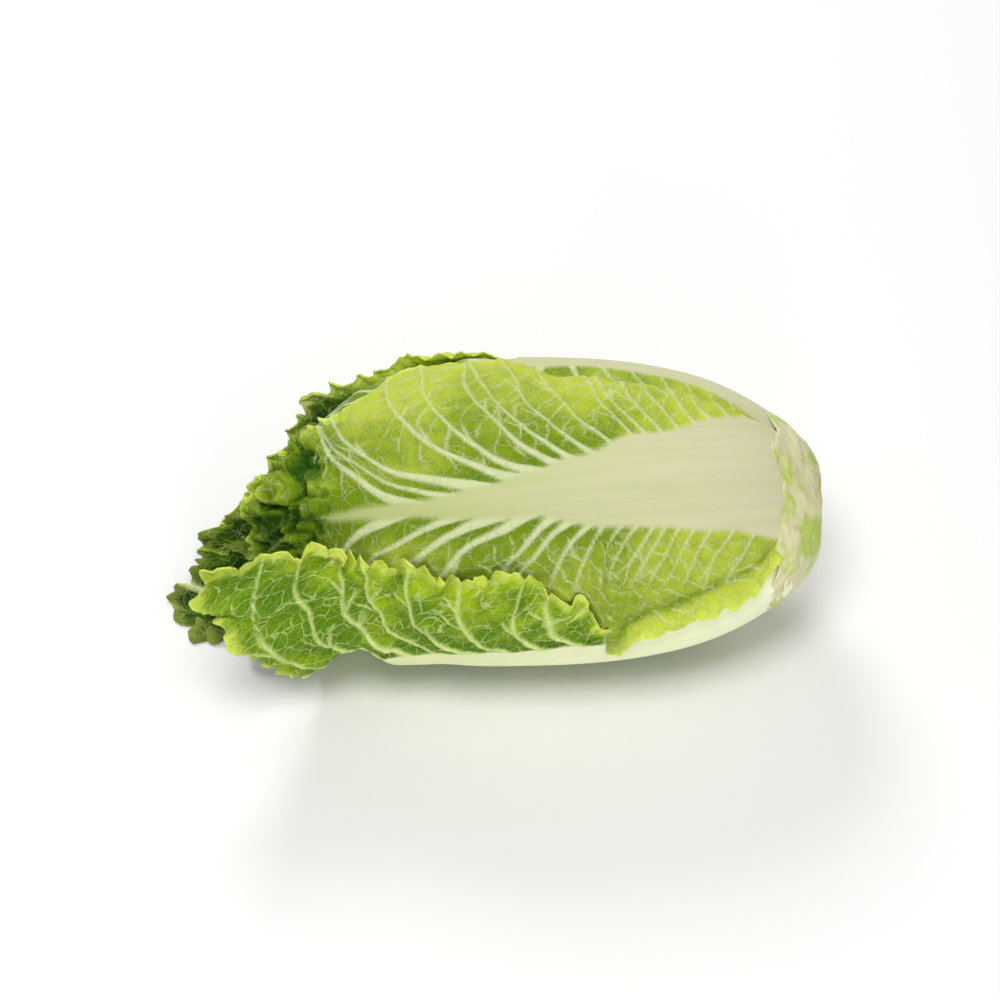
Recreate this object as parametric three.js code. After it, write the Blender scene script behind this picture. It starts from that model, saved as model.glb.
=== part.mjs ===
// A napa cabbage lying on its side: a dense heart on its cut stem, wrapped in eight separate leaves.
// Each leaf is a thin sheet with a thick midrib. It is drawn over the head in two coordinates, the station
// along the head's outline and the angle round its axis, and its height is measured square to that outline.
// At every place the leaves keep their order: an inner leaf stays under the ceiling left by the outer ones.
// Units are millimetres. +Z is up and the stem end points to +X.
import * as THREE from "three";

// Driving dimensions
const HEAD_RADIUS = 69.5; // at the widest ring
const STEM_TO_WIDEST = 150; // along the axis, from the cut stem to the widest ring
const STEM_END_REACH = 155.5; // the outline's half length on that side; the cut takes the last bit off
const STEM_END_FULLNESS = 2.7; // exponents of the outline: above 2 is fuller than an ellipse
const CROWN_REACH = 93; // from the widest ring to the closed top of the head
const CROWN_FULLNESS = 2.1;
const AXIS_HEIGHT = 67; // a little under the radius, so that the head rests on a flat spot
const CUT_END_X = 150; // the cut face; the axis runs from here to -X
const AXIS_Y = 0.2;
const BLADE_THICKNESS = 1.0;
const RIB_THICKNESS = 6.5; // added to the blade along the foot of the midrib
const LEAF_GAP = 2; // air between one leaf and the next
const FIRST_LEAF_ANGLE = 322.5; // degrees from the front (-Y) round towards +Z
const LEAF_TURN = -137.5; // degrees from each leaf to the next one in
const LEAN = -0.09; // degrees that a midrib drifts round the head for each millimetre
const HOOK = 12; // extra degrees where a midrib leaves the stem
const FIRST_FOOT = 21; // station of the outermost leaf's foot
const FOOT_STEP = 0.6; // and how much further along each next leaf starts
const FOOT_ROUNDING = 6; // how much later a leaf's sides start than its midrib

const RADIANS = Math.PI / 180;
const clamp = (x, low, high) => Math.min(high, Math.max(low, x));
const smooth = (low, high, x) => {
  const q = clamp((x - low) / (high - low), 0, 1);
  return q * q * (3 - 2 * q);
};
const softMin = (a, b, width) => {
  const q = clamp(0.5 + (0.5 * (b - a)) / width, 0, 1);
  return b + (a - b) * q - width * q * (1 - q);
};
const softMax = (a, b, width) => -softMin(-a, -b, width);

// A smooth curve through a few [place, value] pairs.
function along(pairs, x) {
  const last = pairs.length - 1;
  if (x <= pairs[0][0]) return pairs[0][1];
  if (x >= pairs[last][0]) return pairs[last][1];
  const i = pairs.findIndex((p) => p[0] > x) - 1;
  return pairs[i][1] + (pairs[i + 1][1] - pairs[i][1]) * smooth(pairs[i][0], pairs[i + 1][0], x);
}

// ---- The head's outline: distance from the cut end and radius at each station ----
const OUTLINE_STEPS = 900;
const outline = [];
for (let i = 0; i <= OUTLINE_STEPS; i++) {
  const turn = Math.PI * (i / OUTLINE_STEPS - 0.5);
  const [reach, power] = turn < 0 ? [STEM_END_REACH, STEM_END_FULLNESS] : [CROWN_REACH, CROWN_FULLNESS];
  const distance = STEM_TO_WIDEST + reach * Math.sign(turn) * Math.abs(Math.sin(turn)) ** (2 / power);
  if (distance < 0) continue;
  const radius = HEAD_RADIUS * Math.cos(turn);
  const before = outline[outline.length - 1];
  const station = before ? before.station + Math.hypot(distance - before.distance, radius - before.radius) : 0;
  outline.push({ station, distance, radius });
}
const CROWN_STATION = outline[outline.length - 1].station;

// Position and outward direction of the outline at a station.
function outlineAt(station) {
  const s = clamp(station, 0.01, CROWN_STATION - 0.01);
  let low = 0;
  let high = outline.length - 1;
  while (high - low > 1) {
    const middle = (low + high) >> 1;
    if (outline[middle].station > s) high = middle;
    else low = middle;
  }
  const a = outline[low];
  const b = outline[high];
  const q = (s - a.station) / (b.station - a.station);
  const run = b.distance - a.distance;
  const rise = b.radius - a.radius;
  const length = Math.hypot(run, rise);
  return {
    distance: a.distance + q * run,
    radius: a.radius + q * rise,
    outX: -rise / length,
    outR: run / length,
  };
}

// The point at a station, an angle in degrees and a height over the outline.
function place(station, angle, height) {
  const o = outlineAt(station);
  return pointAt(o.distance + height * o.outX, angle, o.radius + height * o.outR);
}
function pointAt(distance, angle, radius) {
  return [
    CUT_END_X - distance,
    AXIS_Y - radius * Math.cos(angle * RADIANS),
    AXIS_HEIGHT + radius * Math.sin(angle * RADIANS),
  ];
}

// How far over the outline the surface that the cabbage lies on is.
function floorHeight(station, angle) {
  const down = -Math.sin(angle * RADIANS);
  const o = outlineAt(station);
  return down > 0.05 && o.outR > 0.05 ? (AXIS_HEIGHT / down - o.radius) / o.outR : 1000;
}

// How far over the outline a straight sheet is that leaves the head near its crown. The sheet is given by
// its radius 220 mm from the cut end and by how much it widens for each millimetre further. It starts to
// leave the head at the station given last.
function sheetHeight(station, radius, widening, start) {
  const o = outlineAt(station);
  const over = radius - o.radius + widening * (o.distance - 220);
  return Math.max(0, over / Math.max(0.15, o.outR - widening * o.outX)) * smooth(start, start + 45, station);
}

// ---- The leaves, outermost first ----
const RIB_HALF_WIDTH = [[12, 24], [38, 26], [92, 21], [134, 15], [170, 9], [208, 5.2], [245, 2.8], [290, 1.2]];
// Half widths in degrees: below is towards smaller angles, above towards larger ones.
const WRAP = [[20, 34], [50, 48], [90, 62], [140, 74], [200, 84], [240, 88], [290, 66]];

const leaves = [
  {
    name: "leaf_1_outermost",
    color: 0x9fc146,
    tip: 235,
    tipSide: (side) => 29 * smooth(-0.1, 0.85, side) - 8 * smooth(0, 1, -side),
    rounding: 3,
    below: [[20, 32], [50, 42], [120, 58], [190, 66], [233, 58]],
    above: [[20, 34], [80, 38], [102, 24], [114, 23], [127, 48], [147, 59], [174, 57], [208, 63], [236, 66], [255, 66]],
    sheet: (s, off) => sheetHeight(s, 71 - 18 * smooth(10, 68, off), 0.04 + 0.12 * smooth(10, 50, off), 150),
    ruffle: 6,
    waveStart: 90,
    rows: 34,
    columns: 20,
    bunching: 0.15,
  },
  {
    name: "leaf_2",
    color: 0x8db536,
    tip: 242,
    tipSide: (side) => (side > 0 ? 26 + 4 * smooth(0.4, 0.9, side) : 50) * side,
    rounding: 4,
    below: [[20, 33], [60, 40], [150, 42], [180, 56], [230, 62]],
    above: [[20, 34], [60, 46], [120, 62], [200, 70], [235, 66], [264, 74]],
    sheet: (s) => sheetHeight(s, 61.5, -0.2, 165),
    ruffle: 4.5,
    waveStart: 110,
    rows: 26,
    columns: 18,
    bunching: 0.3,
  },
  {
    name: "leaf_3",
    color: 0xa9c456,
    angleShift: 5.7,
    tip: 280,
    rounding: 14,
    below: [[20, 46], [50, 64], [92, 68], [100, 75], [109, 60], [115, 60], [128, 66], [165, 70], [210, 76], [280, 66]],
    above: [[20, 34], [42, 39], [92, 48], [134, 55], [161, 72], [200, 80], [240, 68], [284, 56]],
    sheet: (s) => sheetHeight(s, 47.5, -0.8, 225),
    ruffle: 3,
    waveStart: 60,
    rows: 34,
    columns: 20,
  },
  {
    name: "leaf_4",
    color: 0x86ad35,
    tip: 264.5,
    rounding: 14,
    below: [[20, 34], [60, 46], [120, 60], [200, 70], [263, 46]],
    above: [[20, 34], [60, 46], [120, 60], [200, 66], [263, 27]],
    angleShift: 6,
    sheet: (s) => sheetHeight(s, 61, 0.04, 165),
    ruffle: 4,
    waveStart: 190,
    rows: 24,
    columns: 16,
    bunching: 0.35,
  },
  { name: "leaf_5", color: 0xaac75c, tip: 276, angleShift: -7.5, foot: 32 },
  { name: "leaf_6", color: 0xb2cc66, tip: 280 },
  { name: "leaf_7", color: 0xb2cc66, tip: 274 },
  { name: "leaf_8", color: 0xbcd273, tip: 283 },
];
leaves.forEach((leaf, order) => {
  leaf.order = order;
  leaf.angle = FIRST_LEAF_ANGLE + LEAF_TURN * order + (leaf.angleShift ?? 0);
  leaf.foot ??= FIRST_FOOT + FOOT_STEP * order;
  leaf.tipSide ??= () => 0;
  leaf.rounding ??= 24;
  leaf.below ??= WRAP;
  leaf.above ??= WRAP;
  leaf.sheet ??= () => 0;
  leaf.ruffle ??= 2.2;
  leaf.waveStart ??= 190;
  leaf.rows ??= 20;
  leaf.columns ??= 16;
  leaf.bunching ??= 0;
  leaf.patch = order < 4 ? 5 : 6.5;
});

// Near the stem the third leaf's wing lies over the first leaf. At this station it goes under it instead.
const CROSSING_STATION = 112;
const crossed = [leaves[2], leaves[0], leaves[1], ...leaves.slice(3)];
const leavesInOrder = (s) => (s < CROSSING_STATION ? crossed : leaves);

const midribAngle = (leaf, s) => leaf.angle + LEAN * (s - 165) + HOOK * Math.exp(-s / 25);
const halfWrap = (leaf, s, side) => along(side < 0 ? leaf.below : leaf.above, s);
const footStation = (leaf, side) => leaf.foot + FOOT_ROUNDING * side ** 2;
const tipStation = (leaf, side) => leaf.tip + leaf.tipSide(side) - leaf.rounding * Math.abs(side) ** 3;

// Where a place on the head lies on a leaf: degrees off the midrib, millimetres across, and its share of
// the half width. The angle is brought within half a turn of the midrib.
function onLeaf(leaf, s, angle) {
  let off = (angle - midribAngle(leaf, s)) % 360;
  if (off > 180) off -= 360;
  if (off < -180) off += 360;
  const radius = Math.max(outlineAt(s).radius, 40);
  const half = halfWrap(leaf, s, off);
  return { off, across: off * RADIANS * radius, side: off / half, radius, half };
}

// Millimetres outside the leaf's own edge, or less than nothing inside it.
function outside(leaf, s, at) {
  const lateral = (Math.abs(at.off) - at.half) * RADIANS * at.radius;
  const side = clamp(at.side, -1, 1);
  return Math.max(lateral, s - tipStation(leaf, side), footStation(leaf, side) - s);
}

// The midrib is thick at the foot and dies away towards the tip.
function thickness(s, at) {
  const half = along(RIB_HALF_WIDTH, s);
  const q = clamp(Math.abs(at.across) / (1.15 * half), 0, 1);
  const strength = 0.3 + 0.7 * smooth(12, 46, s);
  return BLADE_THICKNESS + RIB_THICKNESS * strength * (1 - s / 310) ** 1.3 * (1 - q * q) ** 1.5;
}

// Waves that grow towards the free edge. They fan out from the middle of the blade.
function waves(leaf, s, at, edge) {
  const fan = Math.atan2(at.across, s - (leaf.tip - 90));
  const crest = 0.5 + 0.5 * Math.sin(11 * fan + 2.3 * leaf.order + 0.8 * Math.sin(4 * fan));
  return leaf.ruffle * crest * Math.exp(-edge / 15) * smooth(leaf.waveStart, leaf.waveStart + 60, s);
}

// The leaf's own height, before the leaves outside it press on it.
function freeHeight(leaf, s, at) {
  const half = along(RIB_HALF_WIDTH, s);
  const q = clamp(Math.abs(at.across) / (1.1 * half), 0, 1);
  const rib = 1.4 * (1 - q * q) ** 2 * smooth(26, 76, s) * smooth(270, 180, s);
  const edge = Math.max(0, -outside(leaf, s, at));
  const sunk = 1.1 * leaf.order * smooth(170, 270, s);
  return rib + waves(leaf, s, at, edge) + softMax(leaf.sheet(s, at.off), -sunk, 2);
}

// How much a leaf presses less on the inner ones at a distance beyond its own edge.
const easing = (beyond) => 0.12 * beyond + 0.012 * beyond ** 2 + 0.25 * Math.max(0, beyond - 9) ** 2;

// The height of a leaf's outer face at one place if the leaf were alone, and the ceiling that the leaves
// outside it leave. With no leaf wanted, it is the ceiling that is left for the heart.
function stackAt(s, angle, wanted) {
  const floor = floorHeight(s, angle);
  let ceiling = floor;
  for (const leaf of leavesInOrder(s)) {
    const at = onLeaf(leaf, s, angle);
    const free = Math.min(freeHeight(leaf, s, at), floor);
    if (leaf === wanted) return { free, ceiling, floor };
    const beyond = Math.max(0, outside(leaf, s, at));
    const under = Math.min(free, ceiling) - thickness(s, at) - LEAF_GAP;
    ceiling = Math.min(ceiling, under + easing(beyond));
  }
  return { free: HEART_DEPTH + crownFolds(s, angle), ceiling, floor };
}

// The same height under the lowest ceiling in a small patch round the place. The patch is short near the
// crown, where sheets stand up steeply.
function pressedHeight(s, angle, wanted) {
  const patch = wanted?.patch ?? 6;
  const turn = patch / RADIANS / Math.max(outlineAt(s).radius, 22);
  const step = patch * (1 - 0.8 * smooth(212, 242, s));
  const { free, floor } = stackAt(s, angle, wanted);
  const places = [-1, 0, 1].flatMap((i) => [-1, 0, 1].map((j) => [s + i * step, angle + j * turn]));
  const ceiling = Math.min(...places.map(([station, turned]) => stackAt(station, turned, wanted).ceiling));
  return ceiling > floor - 0.5 ? Math.min(free, floor) : softMin(free, ceiling, 1);
}

// ---- From sheets to solids ----
// A closed solid from two alike grids of points, an outer and an inner one, joined round their rim.
function sheetSolid(outer, inner) {
  const rows = outer.length;
  const columns = outer[0].length;
  const at = (layer, i, j) => layer * rows * columns + i * columns + j;
  const triangles = [];
  const quad = (a, b, c, d) => triangles.push(a, b, c, a, c, d);
  for (let i = 0; i + 1 < rows; i++)
    for (let j = 0; j + 1 < columns; j++) {
      quad(at(0, i, j), at(0, i, j + 1), at(0, i + 1, j + 1), at(0, i + 1, j));
      const [a, b, c, d] = [at(1, i, j), at(1, i, j + 1), at(1, i + 1, j + 1), at(1, i + 1, j)];
      triangles.push(a, c, b, a, d, c);
    }
  for (let j = 0; j + 1 < columns; j++) {
    quad(at(0, 0, j + 1), at(0, 0, j), at(1, 0, j), at(1, 0, j + 1));
    quad(at(0, rows - 1, j), at(0, rows - 1, j + 1), at(1, rows - 1, j + 1), at(1, rows - 1, j));
  }
  for (let i = 0; i + 1 < rows; i++) {
    quad(at(0, i, 0), at(0, i + 1, 0), at(1, i + 1, 0), at(1, i, 0));
    quad(at(0, i + 1, columns - 1), at(0, i, columns - 1), at(1, i, columns - 1), at(1, i + 1, columns - 1));
  }
  return solid([...outer.flat(), ...inner.flat()], triangles);
}

function solid(points, triangles) {
  const geometry = new THREE.BufferGeometry();
  geometry.setAttribute("position", new THREE.Float32BufferAttribute(points.flat(), 3));
  geometry.setIndex(triangles);
  geometry.computeVertexNormals();
  return geometry;
}

function leafGeometry(leaf) {
  const outer = [];
  const inner = [];
  for (let i = 0; i <= leaf.rows; i++) {
    outer.push([]);
    inner.push([]);
    for (let j = 0; j <= leaf.columns; j++) {
      const side = (2 * j) / leaf.columns - 1;
      const share = i / leaf.rows;
      const reach = share + leaf.bunching * share * (1 - share);
      const foot = footStation(leaf, side);
      const s = foot + reach * (tipStation(leaf, side) - foot);
      const angle = midribAngle(leaf, s) + side * halfWrap(leaf, s, side);
      const height = pressedHeight(s, angle, leaf);
      outer[i].push(place(s, angle, height));
      inner[i].push(place(s, angle, height - thickness(s, onLeaf(leaf, s, angle))));
    }
  }
  return sheetSolid(outer, inner);
}

// ---- The heart: everything inside the separate leaves, with the stem that all leaves grow from ----
const HEART_ROWS = 24;
const HEART_SIDES = 36;
const HEART_FOOT = 47;
const HEART_DEPTH = -9; // its height where no leaf presses on it
const HEART_GAP = 0.6; // more air over the heart than between the leaves
// The stem's cut end, with the stubs of trimmed leaves round it: distance from the cut and radius.
const STEM = [[0, 19.5], [0.8, 22.5], [3, 26.5], [7, 31], [11.6, 34.6], [12.2, 31], [14, 21], [24, 20.5]];

// Folded leaf tips stand on the heart's crown as curled ridges.
function crownFolds(s, angle) {
  const curl = Math.sin((3 * angle + 2.2 * s) * RADIANS) * 0.5 + 0.5;
  return 5 * curl ** 2 * smooth(230, 255, s) * smooth(CROWN_STATION, CROWN_STATION - 14, s);
}

function heartGeometry() {
  const sides = Array.from({ length: HEART_SIDES }, (_, j) => (360 * j) / HEART_SIDES);
  const rings = STEM.map(([distance, radius]) =>
    sides.map((angle) => {
      const uneven = 1 + 0.025 * Math.sin(3 * angle * RADIANS) + 0.02 * Math.sin(7 * angle * RADIANS);
      return pointAt(distance, angle, uneven * radius);
    }),
  );
  for (let i = 0; i < HEART_ROWS; i++) {
    const s = HEART_FOOT + ((CROWN_STATION - 3 - HEART_FOOT) * i) / (HEART_ROWS - 1);
    rings.push(sides.map((angle) => place(s, angle, pressedHeight(s, angle) - HEART_GAP)));
  }
  const points = rings.flat();
  const cutCentre = points.push(pointAt(0, 0, 0)) - 1;
  const crownCentre = points.push(pointAt(STEM_TO_WIDEST + CROWN_REACH + HEART_DEPTH, 0, 0)) - 1;
  const triangles = [];
  const last = rings.length - 1;
  for (let j = 0; j < HEART_SIDES; j++) {
    const k = (j + 1) % HEART_SIDES;
    triangles.push(cutCentre, k, j);
    triangles.push(crownCentre, last * HEART_SIDES + j, last * HEART_SIDES + k);
    for (let i = 0; i < last; i++) {
      const [a, b] = [i * HEART_SIDES + j, i * HEART_SIDES + k];
      triangles.push(a, b, b + HEART_SIDES, a, b + HEART_SIDES, a + HEART_SIDES);
    }
  }
  return solid(points, triangles);
}

// ---- The cabbage ----
const cabbage = new THREE.Group();
function addPiece(name, geometry, color, roughness) {
  const mesh = new THREE.Mesh(geometry, new THREE.MeshStandardMaterial({ color, roughness, metalness: 0 }));
  mesh.name = name;
  cabbage.add(mesh);
}
addPiece("heart_and_stem", heartGeometry(), 0xe4e6b4, 0.55);
for (const leaf of leaves) addPiece(leaf.name, leafGeometry(leaf), leaf.color, 0.5);

export default cabbage;
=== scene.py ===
# %% [markdown]
# # A napa cabbage
# A napa cabbage is a head of long leaves with broad white midribs, grown tightly over one another from a
# short stem. The frame brings in the solids of this head: a heart on its stem and eight separate leaves.
# Each solid is dressed here with a finer piece, and the head is then lit and looked at.

# %% Load the frame
import math
import bpy
import numpy as np
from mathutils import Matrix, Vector


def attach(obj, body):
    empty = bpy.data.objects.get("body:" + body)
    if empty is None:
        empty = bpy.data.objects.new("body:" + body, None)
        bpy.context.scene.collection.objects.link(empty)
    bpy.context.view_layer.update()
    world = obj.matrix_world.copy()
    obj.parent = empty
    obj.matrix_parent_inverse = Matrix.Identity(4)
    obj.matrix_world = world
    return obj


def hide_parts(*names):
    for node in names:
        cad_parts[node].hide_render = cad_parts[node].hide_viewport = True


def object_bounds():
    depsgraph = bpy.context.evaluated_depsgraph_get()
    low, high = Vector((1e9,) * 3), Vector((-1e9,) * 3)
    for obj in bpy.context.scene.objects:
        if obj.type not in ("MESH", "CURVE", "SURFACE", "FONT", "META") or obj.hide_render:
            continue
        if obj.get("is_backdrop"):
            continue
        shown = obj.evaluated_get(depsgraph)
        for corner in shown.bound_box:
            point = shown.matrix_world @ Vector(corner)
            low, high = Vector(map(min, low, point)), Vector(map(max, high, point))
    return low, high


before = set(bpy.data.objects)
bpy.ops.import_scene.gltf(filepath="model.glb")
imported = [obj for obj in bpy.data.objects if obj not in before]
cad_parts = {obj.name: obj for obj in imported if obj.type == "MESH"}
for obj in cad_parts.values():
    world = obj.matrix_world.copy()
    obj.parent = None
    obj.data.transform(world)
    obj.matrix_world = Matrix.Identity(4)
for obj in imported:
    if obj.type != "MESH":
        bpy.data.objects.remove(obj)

cad_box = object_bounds()
print("solids:", ", ".join(sorted(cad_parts)))

# %% [markdown]
# ## The camera
# The head lies on its side with the cut stem to the right. It is seen from the front and well from above,
# through a long lens, so that near and far leaves keep nearly the same scale. A constraint could aim the
# camera, but a fixed turn round one axis is plainer and keeps the horizon level.

# %% Camera
MM = 0.001
VIEW_ELEVATION = math.radians(50)
VIEW_DISTANCE = 1.9
VIEW_WIDTH = 0.457
AIM_RIGHT, AIM_UP = 0.0044, 0.0048
SENSOR = 36.0
HEAD_MIDDLE = Vector((0.0, 0.0002, 0.067))

backward = Vector((0, -math.cos(VIEW_ELEVATION), math.sin(VIEW_ELEVATION)))
upward = Vector((0, math.sin(VIEW_ELEVATION), math.cos(VIEW_ELEVATION)))
aim = HEAD_MIDDLE + Vector((AIM_RIGHT, 0, 0)) + AIM_UP * upward
lens_data = bpy.data.cameras.new("camera")
lens_data.sensor_width = SENSOR
lens_data.lens = SENSOR * VIEW_DISTANCE / VIEW_WIDTH
camera = bpy.data.objects.new("camera", lens_data)
bpy.context.scene.collection.objects.link(camera)
camera.location = aim + VIEW_DISTANCE * backward
camera.rotation_euler = (math.radians(90) - VIEW_ELEVATION, 0, 0)
bpy.context.scene.camera = camera
print("lens:", round(lens_data.lens), "mm")

# %% [markdown]
# ## The shape of the head
# A leaf of a head lies on the leaves below it, so all of them are drawn over one outline, turned round the
# axis of the head. A place is given by its station along the outline, its angle round the axis and its
# height over the outline. The values are in millimetres and degrees and are those of the solids.

# %% Dimensions
HEAD_RADIUS = 69.5
STEM_TO_WIDEST = 150.0
STEM_END_REACH, STEM_END_FULLNESS = 155.5, 2.7
CROWN_REACH, CROWN_FULLNESS = 93.0, 2.1
AXIS_HEIGHT = 67.0
CUT_END_X = 150.0
AXIS_Y = 0.2
BLADE_THICKNESS = 0.8
RIB_THICKNESS = 6.5
LEAF_GAP = 1.6
FIRST_LEAF_ANGLE = 322.5
LEAF_TURN = -137.5
LEAN = -0.09
HOOK = 12.0
FIRST_FOOT = 21.0
FOOT_STEP = 0.6
FOOT_ROUNDING = 6.0
CROSSING_STATION = 112.0
RADIANS = math.pi / 180
print("head, mm:", 2 * HEAD_RADIUS, "across,", STEM_END_REACH + CROWN_REACH, "long without its leaf tips")

# %% [markdown]
# ## Soft steps and random fields
# Nothing on a leaf starts or stops sharply, so the formulas below are built from soft steps and from curves
# through a few given points. Growth is uneven too. Blender's noise textures could give that, but the same
# numbers are needed for shapes and for colours, so a sum of a few waves with a fixed seed is used instead.
# It gives the same bumps on every run.

# %% Soft steps and random fields
def smooth(low, high, x):
    """A soft step from 0 at low to 1 at high."""
    q = np.clip((x - low) / (high - low), 0, 1)
    return q * q * (3 - 2 * q)


def soft_min(a, b, width):
    """The smaller of two values, rounded where they meet."""
    q = np.clip(0.5 + 0.5 * (b - a) / width, 0, 1)
    return b + (a - b) * q - width * q * (1 - q)


def soft_max(a, b, width):
    return -soft_min(-a, -b, width)


def along(pairs, x):
    """A smooth curve through a few (place, value) pairs."""
    places, values = np.array(pairs, float).T
    i = np.clip(np.searchsorted(places, x, side="right") - 1, 0, len(places) - 2)
    return values[i] + (values[i + 1] - values[i]) * smooth(places[i], places[i + 1], x)


def wobble(x, y, length, seed):
    """A gentle random field, mostly between -1 and 1, with bumps of about that length."""
    draw = np.random.default_rng(seed)
    total = 0
    for _ in range(8):
        turn = draw.uniform(0, 2 * math.pi)
        beat = 2 * math.pi / length * draw.uniform(0.6, 1.5)
        total = total + np.sin(beat * (x * math.cos(turn) + y * math.sin(turn)) + draw.uniform(0, 6.3))
    return total / 2.8


def folds(x, y, length, seed):
    """Curls as on the rim of a savoyed leaf: wide folds, and sharp creases that run through them."""
    x = x + 0.25 * length * wobble(x, y, 1.3 * length, seed + 2)
    y = y + 0.25 * length * wobble(x, y, 1.3 * length, seed + 3)
    return 0.45 + 0.45 * wobble(x, y, length, seed) + 0.3 * np.abs(wobble(x, y, 0.6 * length, seed + 1))


sample = wobble(np.arange(300.0), 0, 20, 1)
print("a random field runs from", round(sample.min(), 2), "to", round(sample.max(), 2))

# %% [markdown]
# ## The outline
# The innermost shape of the head is a barrel that is fuller at the stem than at the crown. It could be a
# turned curve, but every leaf needs to ask it for its radius and its outward direction at any place. So it
# is a table of points along half of an oval, read with interp. Stations are lengths along that line.

# %% The outline
OUTLINE_STEPS = 7200
turns = np.pi * (np.arange(OUTLINE_STEPS + 1) / OUTLINE_STEPS - 0.5)
reaches = np.where(turns < 0, STEM_END_REACH, CROWN_REACH)
powers = np.where(turns < 0, STEM_END_FULLNESS, CROWN_FULLNESS)
distances = STEM_TO_WIDEST + reaches * np.sign(turns) * np.abs(np.sin(turns)) ** (2 / powers)
radii = HEAD_RADIUS * np.cos(turns)[distances >= 0]
distances = distances[distances >= 0]
runs, rises = np.diff(distances), np.diff(radii)
lengths = np.hypot(runs, rises)
stations = np.concatenate([[0], np.cumsum(lengths)])
between = (stations[1:] + stations[:-1]) / 2
CROWN_STATION = stations[-1]
print("along the outline:", round(CROWN_STATION), "mm")


# %% Places over the outline
def outline_radius(s):
    return np.interp(s, stations, radii)


def out_of(s):
    """Outward direction of the outline: along the axis and across it."""
    return np.interp(s, between, -rises / lengths), np.interp(s, between, runs / lengths)


def point_at(distance, angle, radius):
    """A point of the head, in millimetres, from its distance to the cut end, its angle and its radius."""
    turn = angle * RADIANS
    across = [AXIS_Y - radius * np.cos(turn), AXIS_HEIGHT + radius * np.sin(turn)]
    return np.stack(np.broadcast_arrays(CUT_END_X - distance, *across), axis=-1)


def place(s, angle, height):
    out_x, out_r = out_of(s)
    distance = np.interp(s, stations, distances) + height * out_x
    return point_at(distance, angle, outline_radius(s) + height * out_r)


def floor_height(s, angle):
    """Height over the outline at which a leaf would touch the floor."""
    down = -np.sin(angle * RADIANS)
    out_r = out_of(s)[1]
    low = (down > 0.05) & (out_r > 0.05)
    rise = (AXIS_HEIGHT / np.where(low, down, 1) - outline_radius(s)) / np.where(low, out_r, 1)
    return np.where(low, rise, 1000)


def sheet_height(s, radius, widening, start):
    """Height of a straight sheet that leaves the head near the crown."""
    out_x, out_r = out_of(s)
    over = radius - outline_radius(s) + widening * (np.interp(s, stations, distances) - 220)
    return np.maximum(0, over / np.maximum(0.15, out_r - widening * out_x)) * smooth(start, start + 45, s)


print("top of the barrel:", round(float(place(150.0, 90.0, 0.0)[2])), "mm over the floor")

# %% [markdown]
# ## The leaves
# Every leaf is a thin blade on a thick midrib, wrapped round the head by its two wings. The leaves follow
# each other in a turn of 137.5 degrees, as on many plants. Each could be sculpted by hand, but they have to
# nest closely, so each is a table of a few numbers instead. In it:
# - tip, tip_side and rounding give the station of the tip and how it falls back towards the sides;
# - below and above pair stations with the degrees that each wing reaches round, and wider adds to them;
# - sheet is the height of a part that leaves the head as a straight sheet, and dent is a change of height;
# - ruffle is the height of the broad waves, frill that of the fine ones, and ragged says where they are;
# - vigour, crinkle and vein_width size the relief, and deep is the depth of the green, from 0 to 2, with some
#   painted shade and light in it;
# - rib_above and rib_below are half widths of the midrib, and veins_above and veins_below the places where
#   side veins leave it. sweep, drift and bend say how these run, and strong how stout they are;
# - margin changes what the rim's colour sees, and rows and columns are the squares of the grid.

# %% The usual leaf
RIB_HALF_WIDTH = [[12, 24], [38, 26], [92, 21], [134, 15], [170, 9], [208, 5.2], [245, 2.8], [290, 1.2]]
SHORT_RIB = [[12, 24], [38, 26], [92, 21], [134, 15], [170, 9], [205, 4], [228, -4]]
WRAP = [[20, 34], [50, 48], [90, 62], [140, 74], [200, 84], [240, 88], [290, 66]]
USUAL = dict(
    shift=0, foot=None, tip_side=lambda side: 0 * side, rounding=24, below=WRAP, above=WRAP,
    sheet=lambda s, off: 0 * s, ruffle=2.2, wave_start=190, rows=110, columns=96,
    frill=3, ragged=lambda s, side: smooth(190, 225, s), crinkle=lambda x, y: 0 * x, vigour=1,
    dent=lambda s, at, sheet: 0 * s, wider=lambda s, side: 0 * s, vein_width=1, bend=24, rungs_end=300,
    strong=lambda origin: 0.15 + 0.85 * smooth(105, 160, origin) * (
        1 - 0.4 * smooth(200, 225, origin) - 0.8 * np.exp(-((origin - 186) / 6) ** 2)),
    margin=lambda s, at, side_vein, edge: (side_vein, edge), deep=lambda s, at, sheet: 0.4 + 0 * s,
    rib_above=RIB_HALF_WIDTH, rib_below=RIB_HALF_WIDTH,
    sweep=[[60, 8], [130, 34], [200, 45]], drift=[[60, 0.45], [160, 0.2]],
    veins_above=[44, 56, 67, 79, 90, 101, 113, 126, 139, 154, 170, 188, 207, 226, 244],
    veins_below=[49, 61, 73, 84, 95, 107, 119, 132, 146, 162, 179, 198, 217, 235, 252],
)
LEAVES = {}
print("usual leaf:", USUAL["rows"] * USUAL["columns"], "squares")

# %% [markdown]
# ## Leaf 1, the outermost
# It lies low at the front with its white rib underneath. Its upper wing laps over leaf 3 with a ruffled
# rim, and its tip flares away from the head. Near its foot leaf 3 comes out over it instead, so its wing is
# narrow there. A deep, narrow dip across the rib near the tip is where the leaf is bent in.

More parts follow.
